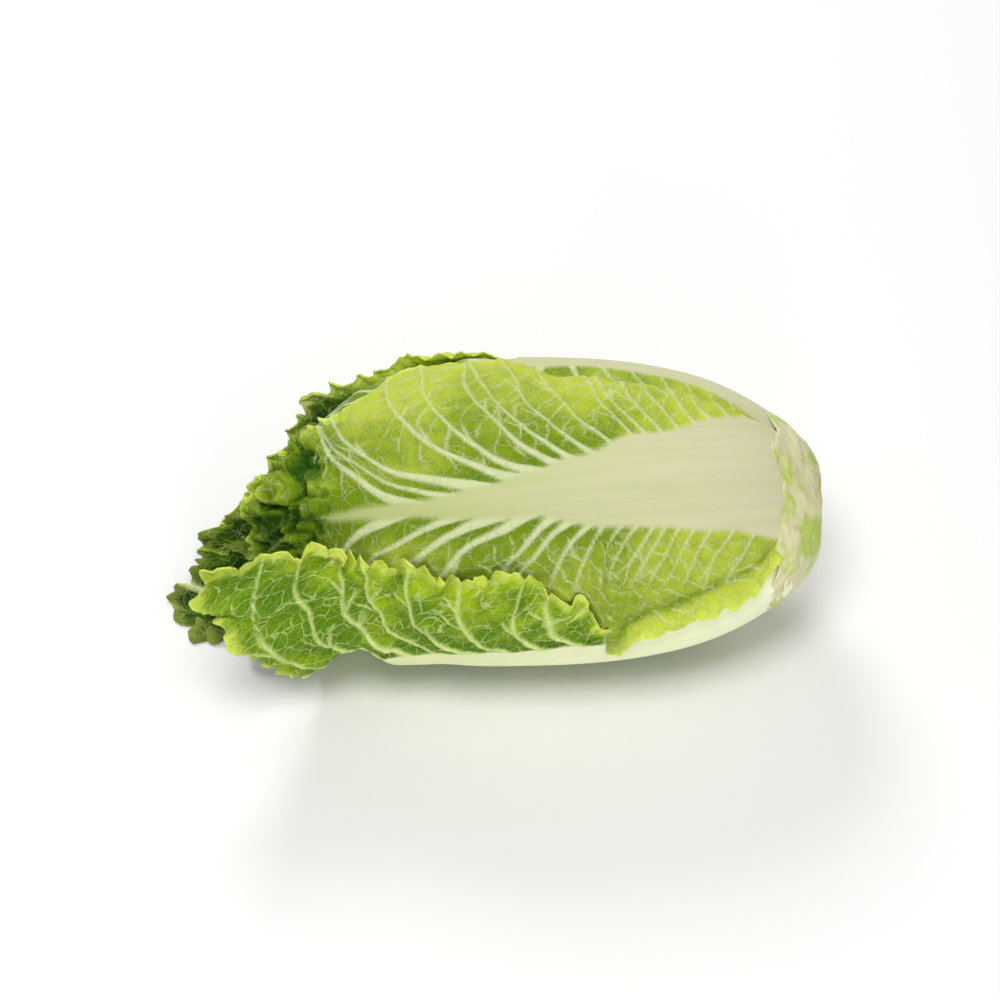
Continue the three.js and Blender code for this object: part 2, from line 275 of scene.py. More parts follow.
# %% Leaf 1
LEAVES["leaf_1_outermost"] = dict(
    tip=235, tip_side=lambda side: 27 * smooth(-0.1, 0.85, side) - 8 * smooth(0, 1, -side), rounding=3,
    below=[[20, 32], [50, 42], [120, 58], [190, 66], [233, 58]],
    above=[[20, 34], [80, 38], [102, 24], [114, 23], [127, 48], [147, 59], [174, 57], [208, 63],
           [236, 68], [255, 82]],
    sheet=lambda s, off: sheet_height(
        s, 71 - 18 * smooth(10, 68, off), 0.04 + 0.12 * smooth(10, 50, off), 150),
    ruffle=6, wave_start=90, rows=224, columns=190, frill=14, vigour=1.8, vein_width=0.85, rungs_end=195,
    ragged=lambda s, side: smooth(108, 140, s) * (0.55 + 0.45 * smooth(150, 185, s)) * (
        0.15 + 0.85 * smooth(0.1, 0.6, side)),
    crinkle=lambda x, y: 0.35 + 0 * x,
    wider=lambda s, side: (
        7 * smooth(135, 165, s) * smooth(0, 1, side)
        + 9 * smooth(104, 112, s) * smooth(132, 120, s) * smooth(0, 1, side)
        - 17 * smooth(241, 257, s) * smooth(0.4, 1, side)),
    dent=lambda s, at, sheet: (
        -21 * np.exp(-((s - 221) / 7) ** 2 - ((sheet["across"] + 4) / 24) ** 2)
        + 3 * smooth(14, 3, sheet["edge"]) * smooth(215, 240, s) * folds(s, sheet["across"], 11, 61)),
    deep=lambda s, at, sheet: (
        0.5 + 0.3 * smooth(215, 250, s) + 0.35 * smooth(8, 30, sheet["edge"])
        + 0.12 * wobble(s, sheet["across"], 16, 66)),
    rib_above=[[12, 26], [38, 28], [92, 28], [134, 27], [170, 26], [208, 21], [228, 13], [240, 3]],
    sweep=[[50, 22], [110, 34], [160, 36], [235, 24]],
    drift=[[60, 0.15], [130, 0.35], [200, 0.6]], bend=18,
    strong=lambda origin: 1.0,
    veins_above=[40, 54, 70, 87, 104, 121, 137, 153, 169, 185, 201, 217, 233],
    veins_below=[49, 61, 73, 84, 95, 107, 119, 132, 146, 162, 179, 198, 217],
)
print("leaf_1_outermost, widest wing:", max(v for _, v in LEAVES["leaf_1_outermost"]["above"]), "degrees")

# %% [markdown]
# ## Leaf 2, at the back
# Only its far rim looks over the head, from its inner side. The rim flares outwards, so the blade dips a
# little before it rises to the edge.

# %% Leaf 2
LEAVES["leaf_2"] = dict(
    tip=242, tip_side=lambda side: (
        np.where(side > 0, 26 + 4 * smooth(0.4, 0.9, side), 50) * side
        - 8 * smooth(-0.15, -0.5, side)),
    rounding=4, rib_above=SHORT_RIB, rib_below=SHORT_RIB,
    below=[[20, 33], [60, 40], [150, 42], [180, 56], [230, 62]],
    above=[[20, 34], [60, 46], [120, 62], [200, 70], [235, 66], [264, 62]],
    sheet=lambda s, off: sheet_height(s, 61.5, -0.2, 165),
    ruffle=4.5, wave_start=110, rows=190, columns=160, frill=12, vein_width=0.7, vigour=1.4,
    ragged=lambda s, side: smooth(160, 210, s) * (
        0.1 + 0.1 * smooth(-1, -0.3, side) + 0.55 * smooth(0.9, 0.1, side) * smooth(-0.4, 0.1, side)),
    # painted light: on the far wing the pale rim colour is spread over a band 2.5 times as wide, to brighten
    # a band that faces away from the lamps
    margin=lambda s, at, side_vein, edge: (side_vein, edge * (1 - 0.6 * smooth(-0.3, -0.7, at["side"]))),
    wider=lambda s, side: (
        14 * smooth(225, 250, s) * smooth(0.2, 1, side) - 9 * smooth(145, 170, s) * smooth(-0.2, -1, side)),
    crinkle=lambda x, y: 0.5 * smooth(150, 220, x),
    dent=lambda s, at, sheet: (
        5 * smooth(222, 245, s) * folds(s, sheet["across"], 17, 71)
        + 2 * smooth(150, 180, s) * smooth(0.1, -0.4, at["side"]) * smooth(12, 0, sheet["edge"])
        + smooth(190, 212, s) * smooth(0.1, -0.4, at["side"]) * (
            5 * smooth(12, 0, sheet["edge"]) - 6 * smooth(30, 11, sheet["edge"]))),
    # partly painted shade: the tip goes to a deeper green, partly its own colour and partly the shade in the
    # dark gap by leaf 3's tip
    deep=lambda s, at, sheet: (
        0.1 + 0.9 * smooth(205, 240, s) * smooth(-0.9, -0.2, at["side"])
        # painted light: the last term below makes the far wing paler, for the same band that faces away from
        # the lamps
        + 0.35 * smooth(6, 20, sheet["edge"]) - 0.4 * smooth(-0.4, -0.8, at["side"])
        # painted shade: in the curls of the tip the fold valleys get a deeper green and the crests a paler
        # one
        + smooth(222, 245, s) * (1.0 - 1.1 * folds(s, sheet["across"], 17, 71))),
)
print("leaf_2, widest wing:", max(v for _, v in LEAVES["leaf_2"]["above"]), "degrees")

# %% [markdown]
# ## Leaf 3, the large front leaf
# The broadest rib of all, with long side veins that fan out towards the tip. Where its lower wing leaves
# the cover of leaf 1 it has a lappet that is turned up and pale. Its tip is dark and full of tight curls.

# %% Leaf 3
LEAVES["leaf_3"] = dict(
    shift=5.7, tip=280, rounding=14,
    below=[[20, 46], [50, 64], [92, 67], [102, 71], [108, 82], [111, 82], [116, 68], [120, 62], [128, 66],
           [165, 70], [210, 76], [280, 66]],
    above=[[20, 34], [42, 39], [92, 48], [134, 55], [161, 72], [200, 80], [240, 68], [284, 56]],
    sheet=lambda s, off: sheet_height(s, 47.5, -0.8, 225),
    ruffle=3, wave_start=60, rows=228, columns=180, frill=8,
    ragged=lambda s, side: np.maximum(
        smooth(222, 262, s) * (1 - 0.75 * smooth(0.45, 0.85, side)),
        0.3 * smooth(112, 104, s) * smooth(34, 46, s) * (side < 0)),
    crinkle=lambda x, y: 1.4 * smooth(236, 262, x),
    margin=lambda s, at, side_vein, edge: (
        side_vein + 3 * (at["side"] < 0) * smooth(114, 100, s) * smooth(15, 10, edge),
        edge * (1 - 0.62 * (at["side"] < 0) * smooth(114, 100, s))
        + 12 * (at["side"] > 0) * smooth(170, 130, s)),
    dent=lambda s, at, sheet: (at["side"] < 0) * smooth(114, 100, s) * smooth(34, 44, s) * (
        1.6 * smooth(14, 9, sheet["edge"]) - 0.9 * np.exp(-((sheet["edge"] - 15) / 3) ** 2))
        + 5 * smooth(240, 258, s + 0.1 * at["across"]) * folds(s, sheet["across"], 15, 51),
    deep=lambda s, at, sheet: (
        0.1 + 0.3 * smooth(40, 100, s) + 0.15 * smooth(20, -20, at["across"])
        + 0.25 * smooth(110, 150, s) * smooth(0, 30, at["across"]) - 0.25 * smooth(35, 65, at["across"])
        - 0.2 * smooth(175, 210, s) * smooth(250, 230, s)
        - 0.5 * (at["side"] > 0) * smooth(16, 2, sheet["edge"]) * smooth(130, 160, s)
        + 0.3 * smooth(60, 20, np.abs(at["across"])) * smooth(90, 150, s)
        # painted shade: a deeper green along the crease of the fold 15 mm in from the lower rim
        + 0.3 * (at["side"] < 0) * np.exp(-((sheet["edge"] - 15) / 5) ** 2)
        - 0.5 * (at["side"] < 0) * smooth(112, 100, s) * smooth(16, 10, sheet["edge"])
        # the tip goes to its own dark green, and painted shade makes the fold valleys of its curls deeper
        # still and the crests paler
        + smooth(234, 254, s + 0.1 * at["across"]) * (1.4 - 1.1 * folds(s, sheet["across"], 15, 51))),
    rib_above=[[20, 42], [39, 40], [54, 34], [94, 25], [127, 18], [150, 11], [170, 6.5],
               [208, 3.4], [240, 1.6], [264, -3.5]],
    rib_below=[[20, 30], [40, 26], [69, 21.5], [115, 17], [161, 7.5], [208, 3.2], [240, 1.5], [264, -3.5]],
    sweep=[[100, 10], [135, 46], [151, 78], [166, 94], [205, 66], [250, 40]],
    drift=[[110, 0.38], [150, 0.02]],
    veins_above=[40, 47, 54, 62, 70, 79, 87, 94, 101, 111, 119, 127, 135, 143, 151, 166, 186, 205],
    veins_below=[46, 56, 66, 74, 82, 89, 95, 102, 108, 116, 123, 131, 139, 150, 164, 182, 213],
)
print("leaf_3, widest wing:", max(v for _, v in LEAVES["leaf_3"]["above"]), "degrees")

# %% [markdown]
# ## Leaves 4 to 8
# Leaf 4 carries the head, and its dark tip reaches out along the floor. It has a notch beside the dip of
# leaf 1, so that nothing fills that dip from behind. Leaf 5 is the top one, with a slim rib. The three
# inner leaves show only as strips, so the usual table with another tip is enough for them.

# %% Leaves 4 to 8
LEAVES["leaf_4"] = dict(
    shift=6, tip=264.5, rounding=14,
    tip_side=lambda side: 4.5 * smooth(-1, -0.6, side) * smooth(0, -0.35, side),
    below=[[20, 34], [60, 46], [120, 60], [200, 70], [263, 46]],
    above=[[20, 34], [60, 46], [120, 60], [200, 66], [263, 27]],
    sheet=lambda s, off: sheet_height(s, 61, 0.04, 165),
    ruffle=4, rows=170, columns=130, frill=11, vein_width=0.7, vigour=1.5,
    ragged=lambda s, side: smooth(185, 225, s),
    crinkle=lambda x, y: 0.9 * smooth(150, 220, x),
    wider=lambda s, side: -30 * np.exp(-((s - 221) / 14) ** 2) * smooth(0.2, 1, side),
    dent=lambda s, at, sheet: 5 * smooth(220, 245, s) * folds(s, sheet["across"], 16, 81),
    # partly painted shade: the tip goes to the darkest green, partly its own colour and partly the shade in
    # the dark gap by leaf 3's tip; the fold valleys of its curls are deeper still and the crests paler, as
    # painted shade
    deep=lambda s, at, sheet: (
        1.1 + 1.3 * smooth(215, 250, s) - 0.9 * smooth(220, 245, s) * folds(s, sheet["across"], 16, 81)),
)
LEAVES["leaf_5"] = dict(
    shift=-7.5, tip=276, foot=27, rows=150, columns=130,
    rib_below=[[12, 24], [38, 23], [92, 14], [134, 9], [170, 6], [200, 1], [222, -4]],
    rib_above=[[12, 24], [38, 26], [92, 21], [134, 15], [170, 8], [200, 1], [222, -4]],
    frill=7, deep=lambda s, at, sheet: 0.35 + 0.9 * smooth(190, 235, s),
    sweep=[[60, -6], [130, -10], [200, 45]], drift=[[60, -0.4], [160, 0.2]],
)
LEAVES["leaf_6"] = dict(tip=280)
LEAVES["leaf_7"] = dict(tip=274)
LEAVES["leaf_8"] = dict(tip=283)
print("stations of the inner tips:", [LEAVES[name]["tip"] for name in ("leaf_6", "leaf_7", "leaf_8")])

# %% Angles and order of the leaves
# Up to the crossing station leaf 3 lies over leaf 1, and beyond it leaf 1 lies over leaf 3.
for order, name in enumerate(LEAVES):
    leaf = LEAVES[name] = {**USUAL, **LEAVES[name], "order": order}
    leaf["angle"] = FIRST_LEAF_ANGLE + LEAF_TURN * order + leaf["shift"]
    leaf["foot"] = leaf["foot"] or FIRST_FOOT + FOOT_STEP * order
IN_ORDER = list(LEAVES.values())
CROSSED = [IN_ORDER[2], IN_ORDER[0], IN_ORDER[1], *IN_ORDER[3:]]
print("leaf angles:", [round(leaf["angle"] % 360) for leaf in IN_ORDER])

# %% [markdown]
# ## Where a place lies on a leaf
# Before a leaf can be laid, every place on the head must know how it stands to the leaf: how far it is from
# the midrib, and on which share of the wing. A mesh could be asked for the nearest point, which is slow
# and jumps at the rims. These formulas give the same answer at once, also for places outside the leaf.

# %% Where a place lies on a leaf
def midrib_angle(leaf, s):
    return leaf["angle"] + LEAN * (s - 165) + HOOK * np.exp(-s / 25)


def half_wrap(leaf, s, side):
    return np.where(side < 0, along(leaf["below"], s), along(leaf["above"], s))


def foot_station(leaf, side):
    return leaf["foot"] + FOOT_ROUNDING * side**2


def tip_station(leaf, side):
    return leaf["tip"] + leaf["tip_side"](side) - leaf["rounding"] * np.abs(side) ** 3


def on_leaf(leaf, s, angle):
    """Degrees and millimetres from the midrib, and the share of the wing: -1 and 1 are the leaf's edges."""
    off = (angle - midrib_angle(leaf, s) + 180) % 360 - 180
    radius = np.maximum(outline_radius(s), 40)
    half = half_wrap(leaf, s, off)
    return dict(off=off, across=off * RADIANS * radius, side=off / half, radius=radius, half=half)


def outside(leaf, s, at):
    """Millimetres outside the leaf's edge, or less than nothing inside it."""
    lateral = (np.abs(at["off"]) - at["half"]) * RADIANS * at["radius"]
    side = np.clip(at["side"], -1, 1)
    return np.maximum(np.maximum(lateral, s - tip_station(leaf, side)), foot_station(leaf, side) - s)


print("feet at stations", [round(leaf["foot"], 1) for leaf in IN_ORDER])

# %% [markdown]
# ## Leaf over leaf
# The leaves of a head press each other flat. A cloth simulation could do that and would take minutes. Here
# every leaf has a free height, which it would take alone, and a ceiling: the lowest that the leaves over it,
# or the floor, leave free. The lower of the two is taken, with a soft change between them, so the smooth
# leaves nest. The relief, the curls and the ruffles come on top of that and use up the gap in places. There
# the finished leaves cut into each other, which a real head's leaves don't do.

# %% Free height of a leaf
def thickness(s, at):
    """Thickness of the blade, with its midrib as a long low swelling."""
    q = np.clip(np.abs(at["across"]) / (1.15 * along(RIB_HALF_WIDTH, s)), 0, 1)
    strength = 0.3 + 0.7 * smooth(12, 46, s)
    return BLADE_THICKNESS + RIB_THICKNESS * strength * (1 - s / 310) ** 1.3 * (1 - q * q) ** 1.5


def waves(leaf, s, at, edge):
    """Broad waves of the margin, which fan out from a point on the midrib."""
    fan = np.arctan2(at["across"], s - (leaf["tip"] - 90))
    crest = 0.5 + 0.5 * np.sin(11 * fan + 2.3 * leaf["order"] + 0.8 * np.sin(4 * fan))
    start = leaf["wave_start"]
    return leaf["ruffle"] * crest * np.exp(-edge / 15) * smooth(start, start + 60, s)


def free_height(leaf, s, at):
    """Height that a leaf would take alone. Leaves further in are sunk a little towards the crown."""
    q = np.clip(np.abs(at["across"]) / (1.1 * along(RIB_HALF_WIDTH, s)), 0, 1)
    rib = 1.4 * (1 - q * q) ** 2 * smooth(26, 76, s) * smooth(270, 180, s)
    edge = np.maximum(0, -outside(leaf, s, at))
    sunk = 1.1 * leaf["order"] * smooth(170, 270, s)
    return rib + waves(leaf, s, at, edge) + soft_max(leaf["sheet"](s, at["off"]), -sunk, 2)


rib_thickness = thickness(np.array([45, 150, 250]), dict(across=np.zeros(3)))
print("midrib near its foot, in the middle and near its tip:", rib_thickness.round(1), "mm thick")


# %% Room under the leaves outside
def ceiling_in(leaves, s, angle, floor, wanted):
    """The height that the leaves outside the wanted one leave free."""
    ceiling = floor
    for leaf in leaves:
        if leaf is wanted:
            break
        at = on_leaf(leaf, s, angle)
        free = np.minimum(free_height(leaf, s, at), floor)
        beyond = np.maximum(0, outside(leaf, s, at))
        ease = 0.12 * beyond + 0.012 * beyond**2 + 0.25 * np.maximum(0, beyond - 9) ** 2
        ceiling = np.minimum(ceiling, np.minimum(free, ceiling) - thickness(s, at) - LEAF_GAP + ease)
    return ceiling


def ceiling_at(s, angle, wanted):
    """The ceiling with the right leaf outside on either side of the crossing."""
    floor = floor_height(s, angle)
    low = ceiling_in(CROSSED, s, angle, floor, wanted)
    high = ceiling_in(IN_ORDER, s, angle, floor, wanted)
    return low + (high - low) * smooth(CROSSING_STATION - 3, CROSSING_STATION + 3, s)


def pressed(s, angle, free, wanted, patch=2.5):
    """A free height held under the lowest ceiling in a small patch round each place, and the room left."""
    floor = floor_height(s, angle)
    turn = patch / RADIANS / np.maximum(outline_radius(s), 22)
    step = patch * (1 - 0.8 * smooth(212, 242, s))
    nearby = [ceiling_at(s + i * step, angle + j * turn, wanted) for i in (-1, 0, 1) for j in (-1, 0, 1)]
    ceiling = np.min(nearby, axis=0)
    height = np.where(ceiling > floor - 0.5, np.minimum(free, floor), soft_min(free, ceiling, 1))
    return height, ceiling - height


print("the heart has its ceiling", round(-float(ceiling_at(150.0, 90.0, None)), 1), "mm inside the barrel")

# %% [markdown]
# ## Veins
# Side veins leave the midrib at a flat angle and bend outwards, each a little differently, and thinner
# veins run across between them like the rungs of a ladder. Curves with a bevel could be laid on the blade,
# but they would end as tubes on a sheet. Here every vertex gets its distance to the nearest vein, in
# millimetres, kept on the mesh as an attribute: the same numbers raise the relief and colour the veins.

# %% One side vein
FORKS = 2
FAR = 50.0


def vein_course(leaf, origin, way, draw):
    """Station of a side vein at each distance from the midrib, and its slope there."""
    sweep, bend_length = along(leaf["sweep"], origin) * draw.uniform(0.9, 1.1), leaf["bend"]
    drift = along(leaf["drift"], origin) + draw.uniform(-0.04, 0.04)
    bend = np.exp(-way / bend_length)
    line = origin - 2 + sweep * (1 - bend) + drift * way
    line = line + 0.3 * np.sin(way / draw.uniform(8, 12) + draw.uniform(0, 6)) * smooth(4, 20, way)
    return line, sweep / bend_length * bend + drift


def vein_distance(leaf, origin, x, way, line, slope, sign, draw):
    """Distance to a side vein and to the forks that it throws off on its way."""
    steep = np.sqrt(1 + slope**2)
    strong = leaf["strong"](origin)
    width = 0.25 + 0.2 * strong + (0.15 + 1.45 * strong) * np.exp(-way / 16)
    width = leaf["vein_width"] * width + (0.5 + 0.5 * strong) * np.exp(-way / 5)
    faded = 1.2 * (1 - strong) * smooth(24, 42, way) * (sign < 0)
    near = np.abs((x - line) / steep) - width + faded
    for _ in range(FORKS):
        fork_at = draw.uniform(12, 46)
        branch = line + draw.choice([-1, 1]) * draw.uniform(0.4, 0.75) * np.maximum(way - fork_at, 0)
        fork = np.abs(x - branch) / steep
        fork = fork - (0.2 + 0.2 * strong) * smooth(fork_at, fork_at + 3, way) + faded
        fork = fork + 1.5 * smooth(fork_at + 7, fork_at + 15, way)
        near = np.minimum(near, np.where(way > fork_at, fork, FAR))
    return near


course = vein_course(IN_ORDER[2], 100.0, np.array([0.0, 30.0]), np.random.default_rng(1))[0]
print("a side vein of leaf 3 runs", round(course[1] - course[0]), "mm forward on 30 mm outward")


# %% All veins of a leaf
def rung_distance(leaf, x, y, across, rib, before, lean, number, draw):
    """Distance to the thin veins that run across between two side veins."""
    spacing = np.array(draw.uniform(5.5, 9.5, 40))[number]
    start = np.array(draw.uniform(0, 1, 40))[number]
    rungs = (across + lean * before) / spacing + start + 0.13 * wobble(x, y, 14, 31 + leaf["order"])
    apart = np.abs(rungs % 1 - 0.5) * spacing / np.sqrt(1 + lean**2) * 1.2 - 0.35
    apart = apart + 1.2 * smooth(11, 22, before) + 1.2 * smooth(9, 3, rib)
    return apart + 2 * smooth(leaf["rungs_end"] - 30, leaf["rungs_end"], x)


def veins(leaf, x, y):
    """Distances to the edge of the nearest side vein, rung and midrib. Inside one they are below zero."""
    side_vein = np.full(x.shape, FAR)
    rung = np.full(x.shape, FAR)
    y_all = y + 0.8 * wobble(x, y, 40, 7 + leaf["order"])
    x = x + 0.9 * wobble(x, y, 45, 17 + leaf["order"])
    rib = np.abs(y_all) - np.where(y_all < 0, along(leaf["rib_below"], x), along(leaf["rib_above"], x))
    for sign, key in ((1, "above"), (-1, "below")):
        draw = np.random.default_rng(100 * leaf["order"] + 5 + sign)
        here = y_all * sign >= 0
        across = np.abs(y_all)
        before, lean, number = np.zeros(x.shape), np.zeros(x.shape), np.zeros(x.shape, int)
        for origin in leaf["veins_" + key]:
            way = np.maximum(across - 0.8 * along(leaf["rib_" + key], origin), 0)
            line, slope = vein_course(leaf, origin, way, draw)
            near = vein_distance(leaf, origin, x, way, line, slope, sign, draw)
            side_vein = np.where(here, np.minimum(side_vein, near), side_vein)
            passed = x > line
            number = number + passed
            before = np.where(passed, x - line, before)
            lean = np.where(passed, np.minimum(slope, 0.8), lean)
        apart = rung_distance(leaf, x, y, across, rib, before, lean, number, draw)
        rung = np.where(here, apart, rung)
    return side_vein, rung, rib


print("side veins in all:", sum(len(leaf["veins_above"]) + len(leaf["veins_below"]) for leaf in IN_ORDER))

# %% [markdown]
# ## Ruffled margins
# A blade keeps growing at its rim after the middle has stopped, so the rim is too long for the leaf and
# folds into ruffles, wide ones with narrower ones on them. A Wave modifier or a displacement would move
# the rim only up and down. Here four waves of falling length run along the rim, each dying away inwards, and
# each also leans the rim in and out and sways it sideways, so that folds can hang over. For that, the true
# distances over the bent blade are measured first.

# %% Measures over a bent blade
RIM_CENTRE = 75  # millimetres from the tip to the point round which places along the rim are counted


def soften(field, times):
    """The field with each value drawn towards its neighbours."""
    for _ in range(times):
        for axis in (0, 1):
            padded = np.concatenate([field.take([0], axis), field, field.take([-1], axis)], axis)
            count = field.shape[axis]
            before = padded.take(range(count), axis)
            after = padded.take(range(2, count + 2), axis)
            field = 0.25 * before + 0.5 * field + 0.25 * after
    return field


def unit(vectors):
    return vectors / (np.linalg.norm(vectors, axis=-1, keepdims=True) + 1e-9)


def measure(points):
    """True distances on a grid of points, and its directions: outwards, over the rim and along it."""
    rows = np.linalg.norm(np.diff(points, axis=0), axis=2)
    columns = np.linalg.norm(np.diff(points, axis=1), axis=2)
    to_tip = np.pad(np.cumsum(rows[::-1], axis=0)[::-1], ((0, 1), (0, 0)))
    from_left = np.pad(np.cumsum(columns, axis=1), ((0, 0), (1, 0)))
    to_right = from_left[:, -1:] - from_left
    from_foot = np.pad(np.cumsum(rows, axis=0), ((1, 0), (0, 0)))
    across = from_left - from_left[:, [points.shape[1] // 2]]
    edge = np.maximum(0, soft_min(soft_min(to_tip, from_left, 6), to_right, 6))
    smoothed = soften(points, 3)
    ahead, right = unit(np.gradient(smoothed, axis=0)), unit(np.gradient(smoothed, axis=1))
    out = unit(np.cross(right, ahead))
    weights = [np.exp(-d / 8)[..., None] for d in (to_tip, to_right, from_left)]
    over_rim = unit(weights[0] * ahead + weights[1] * right - weights[2] * right)
    turn = np.arctan2(np.abs(across), np.maximum(RIM_CENTRE - to_tip, 1e-3))
    way = (RIM_CENTRE * turn + np.maximum(to_tip - RIM_CENTRE, 0)) * np.sign(across)
    return dict(edge=edge, across=across, out=out, over_rim=over_rim, way=way, from_foot=from_foot,
                along_rim=unit(np.cross(out, over_rim)))


flat_patch = np.stack([*np.meshgrid(np.arange(5.0), np.arange(9.0)), np.zeros((9, 5))], axis=-1)
print("a flat patch 8 mm long measures", round(float(measure(flat_patch)["from_foot"].max()), 1), "mm")


# %% Ruffles
# Length along the rim, share of the height, share of the lean, and reach inwards.
RUFFLE_WAVES = ((27, 0.3, 0.07, 16), (14, 0.4, 0.24, 9), (7.5, 0.24, 0.1, 5), (4, 0.08, 0.04, 2.5))


def ruffles(leaf, sheet):
    """Height of the ruffles, their lean over the rim and sway along it, and how far the rim is nibbled in."""
    edge, way = sheet["edge"], sheet["way"]
    flat, seed = 0 * way, 11 * leaf["order"]
    way = way + 3 * wobble(way, flat, 60, seed + 1)
    height, lean, sway = 0, 0, 0
    for wave, share, leaning, reach in RUFFLE_WAVES:
        beat = 2 * math.pi * way / wave + 1.5 * wobble(way, flat, 3 * wave, seed + int(wave))
        fade = np.exp(-edge / reach) * (1 + 0.45 * wobble(way, flat, 4 * wave, seed + 2))
        height = height + share * fade * (0.35 + 0.65 * np.sin(beat + 0.05 * edge))
        lean = lean + leaning * fade * np.tanh(2 * np.cos(beat - 0.4) + 0.5)
        sway = sway - 0.32 * share * fade * np.sin(beat - 0.4)
    nibble = 1.4 * wobble(way, flat, 17, seed + 3) + 0.5 * wobble(way, flat, 6, seed + 4) + 0.8
    return height, lean, sway, np.clip(nibble, 0, 4) * np.exp(-edge / 7)


print("shares of the ruffles' height:", round(sum(wave[1] for wave in RUFFLE_WAVES), 2))

# %% [markdown]
# ## From a flat grid to a leaf
# A leaf starts as a flat grid with as many squares as its detail needs. Every vertex is then put in its
# place on the head by the formulas above, the rim is nibbled a little, and Solidify gives the blade and the
# midrib their thickness. Bending a grid by hand would never follow the neighbouring leaves this closely.

# %% Flat grids
RIM_FINENESS, TIP_FINENESS = 0.3, 0.25


def keep(mesh, name, values):
    mesh.attributes.new(name, "FLOAT", "POINT").data.foreach_set("value", values.ravel().astype(np.float32))


def flat_grid(name, leaf):
    """A flat square grid, with its corners sorted into rows and columns."""
    bpy.ops.object.select_all(action="DESELECT")
    bpy.ops.mesh.primitive_grid_add(x_subdivisions=leaf["columns"], y_subdivisions=leaf["rows"], size=2)
    piece = bpy.context.object
    piece.name = piece.data.name = name + "_blade"
    corners = np.zeros(len(piece.data.vertices) * 3)
    piece.data.vertices.foreach_get("co", corners)
    corners = corners.reshape(-1, 3).round(6)
    sorting = np.lexsort((corners[:, 0], corners[:, 1]))
    shape = (len(np.unique(corners[:, 1])), len(np.unique(corners[:, 0])))
    return piece, sorting, corners[sorting, 0].reshape(shape), corners[sorting, 1].reshape(shape)


def in_mesh_order(values, sorting):
    flat = np.empty((len(sorting), *values.shape[2:]))
    flat[sorting] = values.reshape(len(sorting), *values.shape[2:])
    return flat


def leaf_places(leaf, x, y):
    """Station and angle of each grid corner. The grid is finer towards the rim, where the ruffles are."""
    side = x * (1 + RIM_FINENESS * (1 - np.abs(x)))
    share = (y + 1) / 2
    share = share * (1 + TIP_FINENESS * (1 - share))
    foot = foot_station(leaf, side)
    s = foot + share * (tip_station(leaf, side) - foot)
    return s, midrib_angle(leaf, s) + side * (half_wrap(leaf, s, side) + leaf["wider"](s, side))


print("squares in all grids:", sum(leaf["rows"] * leaf["columns"] for leaf in IN_ORDER))

# %% [markdown]
# ## Relief and thickness
# On the outside of a leaf the veins stand out, the blade puckers between them, and the midrib has shallow
# grooves along it. A bump in the material would be too flat at the silhouette, so all of this moves the
# vertices. Solidify then makes the sheet a closed body. A vertex group tells it where the midrib is thick.

# %% Relief and thickness
VEIN_RELIEF, RUNG_RELIEF, PUCKER_RELIEF, GROOVE_RELIEF = 0.8, 0.3, 0.5, 0.14
SMOOTH_UNDER = math.radians(65)


def blade_relief(leaf, x, y, side_vein, rung, rib):
    """Raised veins, puckers between them and the shallow grooves of the midrib, in millimetres."""
    blade = smooth(-1, 5, rib)
    relief = VEIN_RELIEF * smooth(1.5, -0.8, side_vein) * smooth(-2, 3, rib)
    relief = relief + RUNG_RELIEF * smooth(1.0, -0.4, rung) * blade * smooth(-0.5, 1.5, side_vein)
    relief = relief + PUCKER_RELIEF * blade * wobble(x, y, 15, 70 + leaf["order"])
    relief = relief * leaf["vigour"]
    relief = relief + leaf["crinkle"](x, y) * blade * wobble(x, y, 8, 80 + leaf["order"])
    bands = y / np.maximum(along(RIB_HALF_WIDTH, x), 3) * 13 + 1.2 * wobble(x, 0 * x, 90, 3)
    return relief + GROOVE_RELIEF * np.sin(bands) * smooth(1, -4, rib) * smooth(30, 60, x)


def lay_flat(mesh, flat):
    """The UV map is the leaf laid flat, in tenths of a metre, so that small veins keep their size."""
    corner = np.zeros(len(mesh.loops), int)
    mesh.loops.foreach_get("vertex_index", corner)
    mesh.uv_layers.active.data.foreach_set("uv", flat[corner].astype(np.float32).ravel())


def give_thickness(piece, wanted):
    """Makes a sheet a closed body, with its inner face in the second material."""
    group = piece.vertex_groups.new(name="thickness")
    most = BLADE_THICKNESS + RIB_THICKNESS
    for index, share in enumerate(wanted / most):
        group.add([index], float(share), "REPLACE")
    wall = piece.modifiers.new("wall", "SOLIDIFY")
    wall.thickness, wall.offset, wall.vertex_group = most * MM, -1, "thickness"
    wall.material_offset = 1
    bpy.ops.object.modifier_apply(modifier="wall")
    piece.vertex_groups.clear()
    bpy.ops.object.shade_smooth_by_angle(angle=SMOOTH_UNDER)


print("side veins stand", VEIN_RELIEF, "mm over the blade on a leaf of usual vigour")

# %% [markdown]
# ## Growing a leaf
# Now the parts come together, in the order in which a leaf gets them: its place under its neighbours, its
# veins, its ruffled rim, and what its colours will read. The outer face is lowered by half the thickness of
# a blade, which leaves the raised veins some room under the next leaf, and it is held off the floor.

# %% Grow one leaf
FLOOR_CLEARANCE = 0.4


